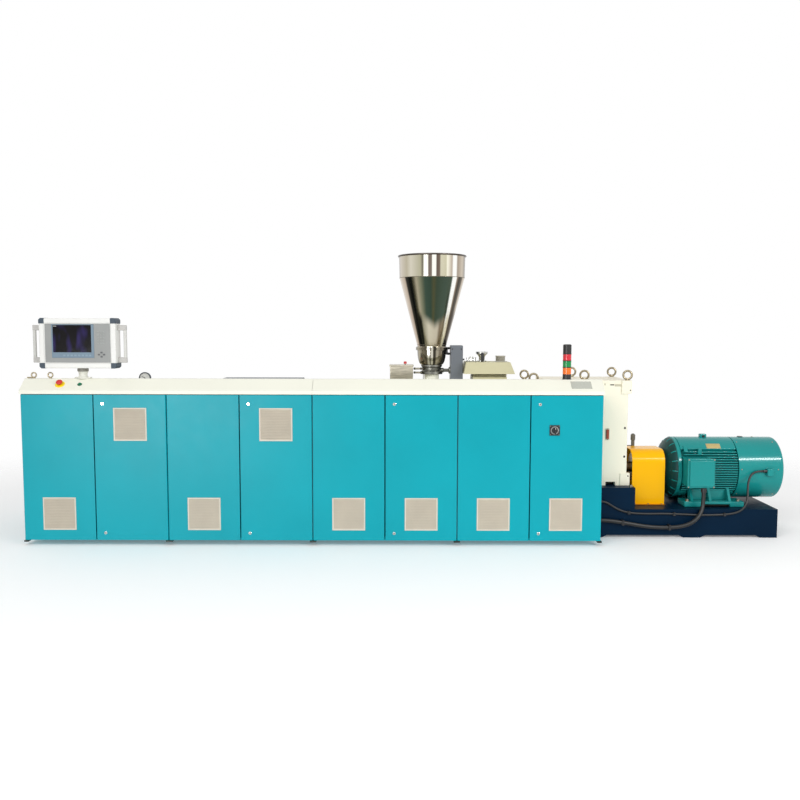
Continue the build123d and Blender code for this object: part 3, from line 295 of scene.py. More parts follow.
grey_plastic = plastic("grey_plastic", (146, 148, 146), 0.5)
grip_plastic = plastic("grip_plastic", (205, 205, 200), 0.5)
black_plastic = plastic("black_plastic", (24, 24, 26), 0.45)
red_plastic = plastic("red_plastic", (206, 40, 40), 0.3)
green_plastic = plastic("green_plastic", (0, 120, 84), 0.3)
yellow_plastic = plastic("yellow_plastic", (250, 220, 20), 0.35)
cable_rubber = plastic("cable_rubber", (10, 10, 10), 0.5, 0.3, 400.0)
# The hopper's and the bowl's steels carry painted reflections as bands in their base colour
collar_steel_painted_reflections = rolled("collar_steel_painted_reflections", 0.14, COLLAR_REFLECTIONS)
cone_steel_painted_reflections = rolled("cone_steel_painted_reflections", 0.14, CONE_REFLECTIONS, LOW_CONE_REFLECTIONS, (1.66, 1.76))
bowl_steel_painted_reflections = rolled("bowl_steel_painted_reflections", 0.12, BOWL_REFLECTIONS)
box_steel = metal("box_steel", (186, 180, 164), 0.3, (1, 1, 14), 16.0, 0.3)
weld_steel = metal("weld_steel", (120, 112, 98), 0.4)
rim_steel = metal("rim_steel", (84, 78, 72), 0.3)
cast_steel = metal("cast_steel", (112, 112, 106), 0.34, spread=0.25)
brass_steel = metal("brass_steel", (150, 139, 116), 0.34, spread=0.2)
chrome = metal("chrome", (205, 205, 200), 0.14, spread=0.08)
brushed_plate = metal("brushed_plate", (192, 194, 184), 0.42, (14, 1, 1), 40.0, 0.1)
gold_plate = metal("gold_plate", (190, 172, 120), 0.4, (14, 1, 1), 40.0, 0.15)
# Darker green for the motor's core between the fins: painted shade
green_painted_fin_shade = paint("green_shadow_paint", (18, 100, 98), 0.35)
# Darker green for the shield's dish between the ribs: painted shade
green_painted_rib_shade = paint("green_shield_painted_shade", (14, 62, 60), 0.4)
rust_orange = paint("primer_orange", (196, 118, 26), 0.5, spread=0.2, grime=0.3)
# Near-black finish laid into holes, slots and recesses: painted shade
painted_hole_shade = plastic("painted_recess_shade", (20, 20, 18), 0.8)
# Grey strips for the grooves in the panel's bars: painted shade
groove_painted_shade = plastic("groove_painted_shade", (186, 186, 182), 0.6)
plate_beige = plastic("plate_beige", (200, 192, 168), 0.5)
filter_mat = plastic("filter_mat", (172, 158, 140), 0.95, 0.9, 260.0)
bracket_grey = plastic("bracket_grey", (190, 188, 184), 0.5)
bracket_white = paint("bracket_white", (226, 226, 216), 0.4, spread=0.02)
collar_grey = plastic("collar_grey", (128, 126, 118), 0.5)
blue_grey = plastic("bezel_blue_grey", (104, 128, 146), 0.45)
screen_glass = glassy("screen_glass", (20, 18, 20), (46, 38, 84))
key_blue = plastic("key_blue", (122, 146, 162), 0.45)
key_grey = plastic("key_grey", (152, 155, 152), 0.5)
key_dark = plastic("key_dark", (84, 86, 88), 0.5)
collar_green = plastic("collar_green", (10, 96, 66), 0.4)
dial_white = plastic("dial_white", (240, 240, 236), 0.35)
gauge_case = metal("gauge_case", (66, 72, 80), 0.3)
tower_black = plastic("tower_black", (18, 17, 16), 0.4)
lens_orange = plastic("lens_orange", (244, 118, 34), 0.2)
lens_green = plastic("lens_green", (0, 142, 70), 0.2)
lens_red = plastic("lens_red", (216, 44, 58), 0.2)
hose_grey = plastic("hose_grey", (176, 172, 158), 0.6)
oil_red = plastic("oil_red", (158, 62, 40), 0.15)
filter_grey = paint("filter_grey", (116, 116, 110), 0.4)

by_slot = dict(
    navy_paint=navy, teal_paint=teal, cream_paint=cream, green_paint=green, yellow_paint=yellow,
    grey_paint=grey, vent_paint=beige, vent_plastic=vent_plastic, stainless=stainless, steel=steel,
    dark_steel=dark_steel, aluminium=aluminium, navy_plastic=navy_plastic, grey_plastic=grey_plastic,
    black_plastic=black_plastic, red_plastic=red_plastic, green_plastic=green_plastic,
    yellow_plastic=yellow_plastic, cable_rubber=cable_rubber, gauge_case=dark_steel,
)


def dress(obj, mat):
    obj.data.materials.clear()
    obj.data.materials.append(mat)


for part in frame["record"]["subparts"]:
    dress(nodes[part["node"]], by_slot[part["material_slot"]])
dress(nodes["panel_grips"], grip_plastic)
dress(nodes["gearbox_housing"], warm_cream)


# Cables repeat the routes of their solids
def cable(name, points, diameter):
    data = bpy.data.curves.new(name, "CURVE")
    data.dimensions = "3D"
    data.resolution_u = 8
    data.bevel_depth = diameter / 2
    data.bevel_resolution = 5
    data.use_fill_caps = True
    spline = data.splines.new("NURBS")
    spline.points.add(len(points) - 1)
    for place, point in zip(spline.points, points):
        place.co = (*[value / 1000 for value in point], 1.0)
    spline.order_u = 3
    spline.use_endpoint_u = True
    obj = bpy.data.objects.new(name + "_cord", data)
    bpy.context.scene.collection.objects.link(obj)
    data.materials.append(cable_rubber)
    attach(obj, "root")
    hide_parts(name)


MOTOR_CABLE = [
    (2354, -378, 372), (2354, -378, 300), (2336, -402, 225), (2290, -430, 165), (2224, -434, 120),
    (2132, -424, 96), (2010, -412, 90), (1880, -410, 98), (1752, -410, 121), (1640, -411, 139),
    (1560, -410, 148), (1490, -410, 148),
]
BLOWER_CABLE = [
    (2875, -273, 528), (2820, -273, 528), (2772, -286, 502), (2742, -308, 456), (2728, -334, 398),
    (2718, -362, 330), (2696, -388, 266), (2648, -396, 220), (2576, -394, 198), (2470, -392, 190),
    (2330, -391, 188), (2190, -391, 194), (2040, -392, 200), (1900, -391, 197), (1790, -392, 201),
    (1710, -391, 214), (1650, -392, 238), (1596, -391, 272), (1545, -392, 300), (1490, -392, 300),
]
cable("motor_cable", MOTOR_CABLE, 0.032)
cable("blower_cable", BLOWER_CABLE, 0.017)


# Building blocks, in millimetres
FRONT = (0, -1, 0)
REAR = (0, 1, 0)
UP = (0, 0, 1)
ALONG = (1, 0, 0)


def ends(node):
    """Lowest and highest corner of a node, in millimetres."""
    low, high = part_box(node)
    return low * 1000, high * 1000


def around(centre, angle, radius):
    """Point on a circle, its angle in degrees."""
    turn = math.radians(angle)
    return centre[0] + radius * math.cos(turn), centre[1] + radius * math.sin(turn)


def soften(bm, edges, reach, segments):
    bmesh.ops.bevel(
        bm, geom=edges, offset=reach, segments=segments, profile=0.5, affect="EDGES", clamp_overlap=True
    )


def weighted_normals(mesh, sharp):
    """Corner normals led by the largest faces, so that flat faces between rounded edges stay flat."""
    limit = math.cos(math.radians(sharp))
    neighbours = [[] for _ in mesh.vertices]
    for face in mesh.polygons:
        for vertex in face.vertices:
            neighbours[vertex].append(face.index)
    flat = [face.normal.copy() for face in mesh.polygons]
    weighted = [face.normal * face.area for face in mesh.polygons]
    corners = []
    for face in mesh.polygons:
        own = flat[face.index]
        for vertex in face.vertices:
            total = Vector()
            for other in neighbours[vertex]:
                if own.dot(flat[other]) > limit:
                    total += weighted[other]
            corners.append(total.normalized() if total.length > 0 else own)
    return corners


class Shape:
    """One visible piece, made of several forms with their own materials."""

    def __init__(self, name):
        self.name = name
        self.bm = bmesh.new()
        self.mats = []

    def absorb(self, bm, mat, matrix=None):
        if mat not in self.mats:
            self.mats.append(mat)
        for face in bm.faces:
            face.material_index = self.mats.index(mat)
        if matrix is not None:
            bmesh.ops.transform(bm, matrix=matrix, verts=bm.verts)
        mesh = bpy.data.meshes.new("part")
        bm.to_mesh(mesh)
        bm.free()
        self.bm.from_mesh(mesh)
        bpy.data.meshes.remove(mesh)

    def block(self, x, y, z, mat, bevel=1.0, segments=2, turn=None):
        """A block that spans three ranges, with rounded edges."""
        bm = bmesh.new()
        bmesh.ops.create_cube(bm, size=1)
        size = Vector([abs(b - a) for a, b in (x, y, z)])
        bmesh.ops.scale(bm, vec=size, verts=bm.verts)
        reach = min(bevel, min(size) * 0.49)
        if reach > 0:
            soften(bm, bm.edges, reach, segments)
        matrix = Matrix.Translation([(a + b) / 2 for a, b in (x, y, z)])
        self.absorb(bm, mat, matrix @ turn if turn else matrix)

    def bar(self, centre, half, mat, bevel=1.0, segments=2, turn=None):
        """A block given by its centre and its half sizes."""
        spans = [(c - h, c + h) for c, h in zip(centre, half)]
        self.block(*spans, mat, bevel, segments, turn)

    def lathe(self, origin, axis, profile, mat, sides=48):
        """A profile of (along, radius) points turned about an axis."""
        bm = bmesh.new()
        rings = []
        for along, radius in profile:
            if radius < 1e-6:
                rings.append([bm.verts.new((0, 0, along))])
                continue
            circle = [around((0, 0), 360.0 * i / sides, radius) for i in range(sides)]
            rings.append([bm.verts.new((*place, along)) for place in circle])
        for a, b in zip(rings, rings[1:]):
            for i in range(sides if len(a) + len(b) > 2 else 0):
                j = (i + 1) % sides
                if len(a) == 1:
                    bm.faces.new((a[0], b[j], b[i]))
                elif len(b) == 1:
                    bm.faces.new((a[i], a[j], b[0]))
                else:
                    bm.faces.new((a[i], a[j], b[j], b[i]))
        bmesh.ops.recalc_face_normals(bm, faces=bm.faces)
        turn = Vector(axis).normalized().to_track_quat("Z", "Y").to_matrix().to_4x4()
        self.absorb(bm, mat, Matrix.Translation(origin) @ turn)

    def rod(self, start, axis, radius, length, mat, sides=32, bevel=0.8):
        """A round bar from its start point, with softened rims."""
        edge = min(bevel, radius * 0.4, length * 0.4)
        profile = [(0, 0), (0, radius - edge), (edge, radius)]
        profile += [(length - edge, radius), (length, radius - edge), (length, 0)]
        self.lathe(start, axis, profile, mat, sides)

    def ring(self, centre, axis, radius, bar, mat, sides=40, steps=14):
        """A ring of round bar."""
        profile = [around((radius, 0), 360 * i / steps, bar)[::-1] for i in range(steps + 1)]
        self.lathe(centre, axis, profile, mat, sides)

    def prism(self, outline, origin, u, v, depth, mat, bevel=1.0, segments=2):
        """An outline in the plane of u and v, drawn out by a depth along their cross product."""
        u, v = Vector(u).normalized(), Vector(v).normalized()
        bm = bmesh.new()
        face = bm.faces.new([bm.verts.new(Vector(origin) + u * a + v * b) for a, b in outline])
        made = bmesh.ops.extrude_face_region(bm, geom=[face])
        moved = [item for item in made["geom"] if isinstance(item, bmesh.types.BMVert)]
        bmesh.ops.translate(bm, vec=u.cross(v) * depth, verts=moved)
        bmesh.ops.recalc_face_normals(bm, faces=bm.faces)
        soften(bm, bm.edges, bevel, segments)
        self.absorb(bm, mat)

    def shell(self, x, radii, angles, mat, centre, steps=24, bevel=2.0):
        """A curved block about an axis along X: angles run from the front (0) over the top (90)."""
        bm = bmesh.new()
        outline = []
        low, high = angles
        for radius, order in ((radii[1], range(steps + 1)), (radii[0], range(steps, -1, -1))):
            for i in order:
                outline.append(around(centre, 180 - low - (high - low) * i / steps, radius))
        first, last = ([bm.verts.new((at, *place)) for place in outline] for at in x)
        count = len(outline)
        for i in range(count):
            j = (i + 1) % count
            bm.faces.new((first[i], first[j], last[j], last[i]))
        for end in (first, last):
            for i in range(steps):
                bm.faces.new((end[i], end[i + 1], end[count - 2 - i], end[count - 1 - i]))
        bmesh.ops.recalc_face_normals(bm, faces=bm.faces)
        edges = [e for e in bm.edges if len(e.link_faces) == 2 and e.calc_face_angle(0) > 0.9]
        soften(bm, edges, bevel, 2)
        self.absorb(bm, mat)

    def screw(self, place, axis, radius, height, mat, sides=6):
        """A hexagon head on its washer."""
        self.rod(place, axis, radius * 1.25, height * 0.25, mat, 24, 0.3)
        head = Vector(place) + Vector(axis).normalized() * height * 0.25
        self.rod(head, axis, radius, height * 0.75, mat, sides, 0.4)

    def keep(self, body, replaces=(), sharp=32.0):
        """Makes the object, in metres, riding on a body."""
        bmesh.ops.scale(self.bm, vec=(0.001, 0.001, 0.001), verts=self.bm.verts)
        mesh = bpy.data.meshes.new(self.name)
        self.bm.to_mesh(mesh)
        self.bm.free()
        for mat in self.mats:
            mesh.materials.append(mat)
        mesh.polygons.foreach_set("use_smooth", [True] * len(mesh.polygons))
        mesh.normals_split_custom_set(weighted_normals(mesh, sharp))
        obj = bpy.data.objects.new(self.name, mesh)
        bpy.context.scene.collection.objects.link(obj)
        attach(obj, body)
        if replaces:
            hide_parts(*replaces)


# Doors: grilles with their filter mats, and round locks
DOOR_FACE = -675.0
GRILLE_RIM = 10.5
GRILLE_SLATS = 19
GRILLE_CUT = 119.0
SLAT_LIP = 2.2
SLAT_SHARE = 0.95
LINER_BACK = 2.6
LOCK_EDGE = 67.0
LOCK_HEIGHTS = (101.0, 1109.0)
LOCK_RADIUS = 11.5


def grille(n):
    low, high = ends(f"door_{n}_vent")
    face, rim = low.y, GRILLE_RIM
    shape = Shape(f"door_{n}_grille")
    for x in ((low.x, low.x + rim), (high.x - rim, high.x)):
        shape.block(x, (face, DOOR_FACE), (low.z, high.z), rim_plastic, 1.5)
    inner = (low.x + rim - 1, high.x - rim + 1)
    for z in ((low.z, low.z + rim), (high.z - rim, high.z)):
        shape.block(inner, (face, DOOR_FACE), z, rim_plastic, 1.5)
    pitch = (high.z - low.z - 2 * rim) / GRILLE_SLATS
    top = pitch * SLAT_SHARE
    slat = [(face + 0.6, 0), (face + 0.6, SLAT_LIP), (DOOR_FACE + 2, top), (DOOR_FACE + 2, top - SLAT_LIP)]
    for i in range(GRILLE_SLATS):
        foot = (inner[0], 0, low.z + rim + i * pitch)
        shape.prism(slat, foot, REAR, UP, inner[1] - inner[0], vent_plastic, 0.4, 1)
    middle = (low + high) / 2
    back = DOOR_FACE + LINER_BACK
    liner = (GRILLE_CUT - 0.4, (back - 0.5, back + 6), rim_plastic)
    mat = (GRILLE_CUT - 4, (back + 2.2, back + 13), filter_mat)
    for reach, depth, material in (liner, mat):
        width = (middle.x - reach, middle.x + reach)
        shape.block(width, depth, (middle.z - reach, middle.z + reach), material)
    shape.keep(f"door_{n}", [f"door_{n}_vent"])


def locks(n):
    x = ends(f"door_{n}")[0].x + LOCK_EDGE
    r = LOCK_RADIUS
    barrel = [(0, 0), (0, r), (1.6, r), (2.6, r - 1.5), (2.6, r - 4), (1.4, r - 4.6), (1.4, 0)]
    shape = Shape(f"door_{n}_locks")
    for z in LOCK_HEIGHTS:
        shape.lathe((x, DOOR_FACE, z), FRONT, barrel, chrome, 36)
        shape.rod((x, DOOR_FACE - 1.3, z), FRONT, 3.4, 1.6, dark_steel, 24, 0.3)
        shape.bar((x, DOOR_FACE - 2.9, z), (5, 0.3, 0.9), black_plastic, 0.2)
    shape.keep(f"door_{n}")


for n in range(1, 9):
    grille(n)
for n in (2, 4, 6, 8):
    locks(n)


# Main switch: screws, scale ring and a shaped handle
SWITCH_HALF = 40.0
SWITCH_DEPTH = 6.0
SWITCH_SCREW = 33.0
SWITCH_MARK = 27.0
SCALE_RING = [(0, 31), (1.5, 31), (2.2, 29.5), (2.2, 24), (1.0, 23)]
HUB_RING = [(0, 22.5), (4.5, 22), (5.6, 20.5), (5.6, 6.0), (0, 6.0)]
KNOB = [(0, 0), (0, 19), (3, 20), (7, 18.5), (8, 16), (8, 0)]
SWITCH_SHAFT = [(0, 5.0), (12, 5.0), (12, 0)]


def main_switch():
    low, high = ends("switch_plate")
    x, z = (low.x + high.x) / 2, (low.z + high.z) / 2
    face = DOOR_FACE - SWITCH_DEPTH
    shape = Shape("switch_bezel")
    width, height = ((at - SWITCH_HALF, at + SWITCH_HALF) for at in (x, z))
    shape.block(width, (face, DOOR_FACE), height, black_plastic, 2.5, 3)
    shape.lathe((x, face, z), FRONT, SCALE_RING, grey_plastic, 64)
    shape.lathe((x, face, z), FRONT, HUB_RING, black_plastic, 64)
    for sx in (x - SWITCH_SCREW, x + SWITCH_SCREW):
        for sz in (z - SWITCH_SCREW, z + SWITCH_SCREW):
            shape.rod((sx, face, sz), FRONT, 3.4, 1.2, steel, 24, 0.4)
            shape.bar((sx, face - 1.3, sz), (2.4, 0.2, 0.4), black_plastic, 0.1)
    for mx, mz in ((x, z + SWITCH_MARK), (x + SWITCH_MARK, z)):
        shape.bar((mx, face - 2.45, mz), (1, 0.35, 1), aluminium, 0.2)
    shape.keep("door_8", ["switch_plate"])

    low, high = ends("switch_handle")
    shape = Shape("switch_knob")
    back = face - 11
    shape.lathe((x, back, z), FRONT, KNOB, black_plastic, 56)
    shape.lathe((x, back, z), REAR, SWITCH_SHAFT, steel, 32)
    half, reach = (high.x - low.x) / 2, (high.z - low.z) / 2
    corner = reach - 6
    side = [(half, -corner), (half * 0.8, 0), (half, corner), (half - 3, reach)]
    handle = [(-half, -corner), (-half + 3, -reach), (half - 3, -reach)] + side
    handle += [(-half + 3, reach), (-half, corner), (-half * 0.8, 0)]
    shape.prism(handle, (x, back - 1, z), ALONG, UP, high.y - low.y - 15, black_plastic, 2.0, 3)
    shape.block((x - 1.2, x + 1.2), (low.y - 0.4, low.y + 1), (z + reach - 16, z + reach - 4), aluminium, 0.4)
    shape.keep("switch_handle", ["switch_handle"])


main_switch()


# Console hood: blank plate and end rod
SLOPE_NORMAL = Vector((0, -0.6, 0.8))
SLOPE_UP = Vector((0, 0.8, 0.6))
SLOPE_MIDDLE = Vector((0, -619, 1252))
PLATE_X = 1296.0
PLATE_HALF = 79.0
PLATE_RISE = 43.0
ROD_Y = -528.0


def on_slope(x, up=0.0, out=0.0):
    return Vector((x, 0, 0)) + SLOPE_MIDDLE + SLOPE_UP * up + SLOPE_NORMAL * out


def hood_trim():
    low, high = ends("console_hood")
    shape = Shape("hood_plate")
    half, rise = PLATE_HALF, PLATE_RISE
    outline = [(-half, -rise), (half, -rise), (half, rise), (-half, rise)]
    shape.prism(outline, on_slope(PLATE_X, 4, 0.1), ALONG, SLOPE_UP, 1.4, brushed_plate, 0.5)
    for dx in (6 - half, half - 6):
        for up in (6 - rise, rise - 6):
            shape.rod(on_slope(PLATE_X + dx, up + 4, 1.2), SLOPE_NORMAL, 2.4, 1.2, steel, 16, 0.4)
    shape.keep("root")

    shape = Shape("hood_rod")
    shape.rod((low.x + 4, ROD_Y, high.z + 6), ALONG, 5, 62, brass_steel, 20)
    for foot in (12, 52):
        shape.rod((low.x + foot, ROD_Y, high.z), UP, 4, 8, brass_steel, 16)
    shape.keep("root")


hood_trim()


# Lifting eyes with collars: places along the machine, with the drop below the gearbox's top
GEAR_EYES = ((1746, 0), (1395, 0), (982, 25))
GEAR_EYE_SIDE = 262
GEAR_EYE_TURN = -14
HOOD_EYES = (-2968, -2839)
HOOD_EYE_Y = -530
EYE_COLLAR = ((0, 0), (0, 2.1), (0.7, 2.1), (1.1, 1.3), (1.9, 1), (1.9, 0))


def eye(shape, place, ring, bar, angle):
    facing = Matrix.Rotation(math.radians(angle), 3, "Z") @ Vector(FRONT)
    shape.ring(Vector(place) + Vector(UP) * (2 + bar + ring), facing, ring, bar, brass_steel, 48, 16)
    shape.lathe(place, UP, [(bar * a, bar * b) for a, b in EYE_COLLAR], brass_steel, 36)


def eyes():
    gear_top, hood_top = ends("gearbox_housing")[1].z, ends("console_hood")[1].z
    shape = Shape("lifting_eyes")
    for x, drop in GEAR_EYES:
        for y in (-GEAR_EYE_SIDE, GEAR_EYE_SIDE):
            eye(shape, (x, y, gear_top - drop), 33.5, 8.5, GEAR_EYE_TURN)
    for x in HOOD_EYES:
        eye(shape, (x, HOOD_EYE_Y, hood_top), 18.5, 5.5, 0)
    shape.keep("root", ["eye_bolts"])


eyes()


# Operator panel
CORNER = 43.0
CHAMFER = 14.0
BAR = 46.0
BAR_INSET = 2.0
BRACKET = 42.0
SCREEN_KEYS = 8
SCREEN_KEY_PITCH = 28.5
KEY_ROWS = 5
KEY_COLUMNS = 3
KEY_PITCH_X = 21
KEY_PITCH_Z = 22
HUB_KEYS = ((0, 16), (0, -16), (-20, 0), (20, 0), (0, 0))
PANEL_COLLAR = [(0, 12.6), (0, 40), (3, 42), (20, 42), (24, 38), (27, 38)]
STAND_FOOT = [(0, 0), (0, 50), (7, 49), (10, 42), (15, 36), (22, 32)]


def operator_panel():
    low, high = ends("panel_corners")
    left, right, bottom, top = low.x, high.x, low.z, high.z
    front, back = low.y, high.y
    post_low, post_high = ends("panel_post")
    post = (post_low + post_high) / 2
    sides, levels = ((left, 1), (right, -1)), ((bottom, 1), (top, -1))

    shape = Shape("panel_bars")
    width = (left + CORNER - 4, right - CORNER + 4)
    height = (bottom + CORNER - 4, top - CORNER + 4)
    depth, cut = (front + 2, back - 2), (front + 1.4, front + 8)
    for z, sign in levels:
        groove = z + sign * (BAR - 7)
        shape.block(width, depth, (z + sign * BAR_INSET, z + sign * BAR), aluminium, 7, 4)
        # Grey strip for the groove: painted shade
        shape.block(width, cut, (groove - 1, groove + 1), groove_painted_shade, 0.2)
    for x, sign in sides:
        groove = x + sign * (BAR - 7)
        shape.block((x + sign * BAR_INSET, x + sign * BAR), depth, height, aluminium, 7, 4)
        # Grey strip for the groove: painted shade
        shape.block((groove - 1, groove + 1), cut, height, groove_painted_shade, 0.2)
    x0, x1, z0, z1 = left + BAR, right - BAR, bottom + BAR, top - BAR
    shape.block((x0 - 4, x1 + 4), (front + 22, back - 4), (z0 - 4, z1 + 4), aluminium, 3)
    shape.lathe((post.x, post.y, bottom - 24), UP, PANEL_COLLAR, collar_grey, 56)
    shape.keep("operator_panel", ["panel_housing"])

    shape = Shape("panel_corner_blocks")
    corner = [(0, CHAMFER), (CHAMFER, 0), (CORNER, 0), (CORNER, CORNER), (0, CORNER)]
    for x, sx in sides:
        for z, sz in levels:
            outline = [(a * sx, b * sz) for a, b in corner]
            shape.prism(outline, (x, front + 0.5, z), ALONG, UP, front - back + 1, navy_plastic, 2.5, 3)
            middle = (x + sx * CORNER * 0.56, front + 1, z + sz * CORNER * 0.56)
            shape.rod(middle, FRONT, 7.5, 1.2, navy_plastic, 32, 0.5)
    shape.keep("operator_panel", ["panel_corners"])

    face = ends("panel_face")[0].y
    shape = Shape("panel_front")
    shape.block((x0, x1), (face, face + 12), (z0, z1), grey_plastic, 1.5)
    bezel_x, bezel_z = (x0 + 52, x0 + 378), (z0 + 37, z1 - 3)
    shape.block(bezel_x, (face - 3, face + 1), bezel_z, blue_grey, 2.5, 3)
    screen_x, screen_z = (bezel_x[0] + 10, bezel_x[1] - 20), (bezel_z[0] + 42, bezel_z[1] - 5)
    shape.block(screen_x, (face - 3.6, face - 2), screen_z, screen_glass, 0.6)
    for i in range(SCREEN_KEYS):
        at = bezel_x[0] + 96 + i * SCREEN_KEY_PITCH
        shape.bar((at, face - 3.5, bezel_z[0] + 18.5), (9, 1.5, 6.5), key_blue, 1.5)
    pad = bezel_x[1] + 22
    for row in range(KEY_ROWS):
        for column in range(KEY_COLUMNS):
            x, z = pad + 12 + column * KEY_PITCH_X, z1 - 61 - row * KEY_PITCH_Z
            shape.bar((x, face - 0.5, z), (8, 1.5, 7), key_grey, 1.5)
    for dx, dz in HUB_KEYS:
        key = key_dark if dx or dz else key_grey
        shape.bar((pad + 34 + dx, face - 0.8, z0 + 62 + dz), (8, 1.8, 6), key, 1.5)
    shape.bar((screen_x[0] + 17, face - 3.6, screen_z[1] - 9), (13, 0.3, 3), key_grey, 0.2)
    shape.keep("operator_panel", ["panel_face"])

    shape = Shape("panel_handles")
    low, high = ends("panel_grips")
    y = (low.y + high.y) / 2
    for edge, tip, inward in ((left + 2, low.x, 24), (right - 2, high.x, -24)):
        for z in ((low.z, low.z + BRACKET), (high.z - BRACKET, high.z)):
            shape.block((edge, tip), (y - 12, y + 12), z, bracket_grey, 4, 3)
        span = (low.z + BRACKET - 4, high.z - BRACKET + 4)
        shape.block((tip, tip + inward), (y - 11, y + 11), span, grip_plastic, 7, 4)
    shape.keep("operator_panel", ["panel_grips"])

    shape = Shape("panel_stand")
    base = ends("console_hood")[1].z
    rise = bottom - 25 - base
    neck = STAND_FOOT + [(rise * 0.7, 32), (rise * 0.84, 35), (rise, 39), (rise, 0)]
    shape.lathe((post.x, post.y, base), UP, neck, bracket_white, 56)
    shape.bar((post.x, post.y, base + 3.5), (62, 26, 3.5), bracket_white, 2.5, 3)
    shape.rod((post.x, post.y, base + rise - 4), UP, 12, 62, steel, 32)
    for dx in (-55, 55):
        for dy in (-18, 18):
            shape.screw((post.x + dx, post.y + dy, base + 7), UP, 4, 4, steel)
    shape.keep("root", ["panel_post"])


operator_panel()


# Push buttons on the hood's slope
STOP_X = -2731
START_X = -2578
STOP_COLLAR = [(0, 11.2), (0, 36.5), (2.5, 37), (5, 34), (7, 20), (8, 15), (8, 11.2), (0, 11.2)]
START_COLLAR = [(0, 11.2), (0, 17.5), (3, 17.5), (5, 15.5), (6, 12.5), (6, 11.2), (0, 11.2)]
STOP_HEAD = [(5, 0), (5, 10), (19, 10), (20, 20), (21.5, 24), (25, 25), (29, 24)]
STOP_HEAD += [(32, 20), (33.6, 13), (34, 5), (34, 0)]
START_HEAD = [(4, 0), (4, 10.4), (10.5, 10.4), (11.6, 9.6), (11.8, 7), (11.2, 0)]


def buttons():
    shape = Shape("button_plates")
    shape.lathe(on_slope(STOP_X), SLOPE_NORMAL, STOP_COLLAR, yellow_plastic, 64)
    shape.lathe(on_slope(START_X), SLOPE_NORMAL, START_COLLAR, collar_green, 48)
    shape.keep("root", ["button_collars"])
    shape = Shape("stop_mushroom")
    shape.lathe(on_slope(STOP_X), SLOPE_NORMAL, STOP_HEAD, red_plastic, 64)
    shape.keep("stop_button", ["stop_button"])
    shape = Shape("start_cap")
    shape.lathe(on_slope(START_X), SLOPE_NORMAL, START_HEAD, green_plastic, 48)
    shape.keep("start_button", ["start_button"])


buttons()


# Pressure gauge
GAUGE_X = -2257.0
GAUGE_Z = 1267.0
GAUGE_RADIUS = 50.0
GAUGE_HALF = 14.0
GAUGE_TICKS = 30
NEEDLE_ANGLE = 150


def gauge():
    x, z, r, half = GAUGE_X, GAUGE_Z, GAUGE_RADIUS, GAUGE_HALF
    shape = Shape("gauge")
    case = [(0, 0), (0, r - 5), (2, r - 2), (20, r - 2), (21, r), (27, r)]
    case += [(28, r - 2), (28, r - 7), (25.5, r - 8)]
    shape.lathe((x, half, z), FRONT, case, gauge_case, 72)
    shape.lathe((x, half, z), FRONT, [(25.2, r - 7.5), (25.2, 0)], dial_white, 72)

    def mark(angle, radius, depth, sizes, bevel):
        at = around((x, z), angle, radius)
        turn = Matrix.Rotation(-math.radians(angle), 4, "Y")
        shape.bar((at[0], half - depth, at[1]), sizes, black_plastic, bevel, 1, turn)

    for i in range(GAUGE_TICKS + 1):
        long, thick = (3.25, 0.7) if i % 5 == 0 else (1.75, 0.4)
        mark(225 - 270 * i / GAUGE_TICKS, r - 10 - long, 25.5, (long, 0.2, thick), 0)
    mark(NEEDLE_ANGLE, 11, 27, (20, 0.5, 1.2), 0.3)
    shape.rod((x, half - 25.4, z), FRONT, 5, 3, black_plastic, 32, 0.6)
    deck = ends("cabinet_deck")[1].z
    shape.rod((x, 0, deck), UP, 8, z - deck - r + 4, brass_steel, 32)
    shape.rod((x, 0, z - r - 12), UP, 13, 14, brass_steel, 6, 0.8)
    shape.keep("root", ["pressure_gauge"])


gauge()


# Hopper, bowl and feeder, all about one upright axis
HOPPER_AXIS = (HOPPER_X, 0, 0)
HOPPER_SEAM = 2108
SEAM_ANGLES = (62, 118)
BOWL_STEPS = 16
BOWL_WALL = 36.5
BOWL_LID = [(1508, 120.5), (1509, 131), (1511, 133), (1519, 133), (1520, 131)]
BOWL_LID += [(1521, 133), (1530, 133), (1532, 131), (1533, 122), (1540, 120)]
CASTING = [(1384, 46), (1384, 88), (1372, 89), (1368, 84), (1362, 79), (1340, 78), (1334, 82)]
CASTING += [(1330, 90), (1308, 92), (1306.5, 90), (1306.5, 46), (1384, 46)]
SLEEVE = [(1210, 52), (1210, 74), (1216, 75), (1220, 66), (1224, 61), (1306, 61), (1306, 52), (1210, 52)]
LID_BOLTS = 12
LID_CIRCLE = 127
BASE_BOLTS = 8
BASE_CIRCLE = 82
FEED_ROD_HEIGHTS = (1318, 1351)
CLAMP_HEIGHTS = (1524, 1478)
FEED_STUB_Z = 1338
FEED_BOX_TOP = 1385.0
FEED_KNOB_X = -62
FEED_KNOB_Y = -40


def off_axis(angle, radius, z):
    """Place round the hopper's axis."""
    return Vector((*around((HOPPER_X, 0), angle, radius), z))


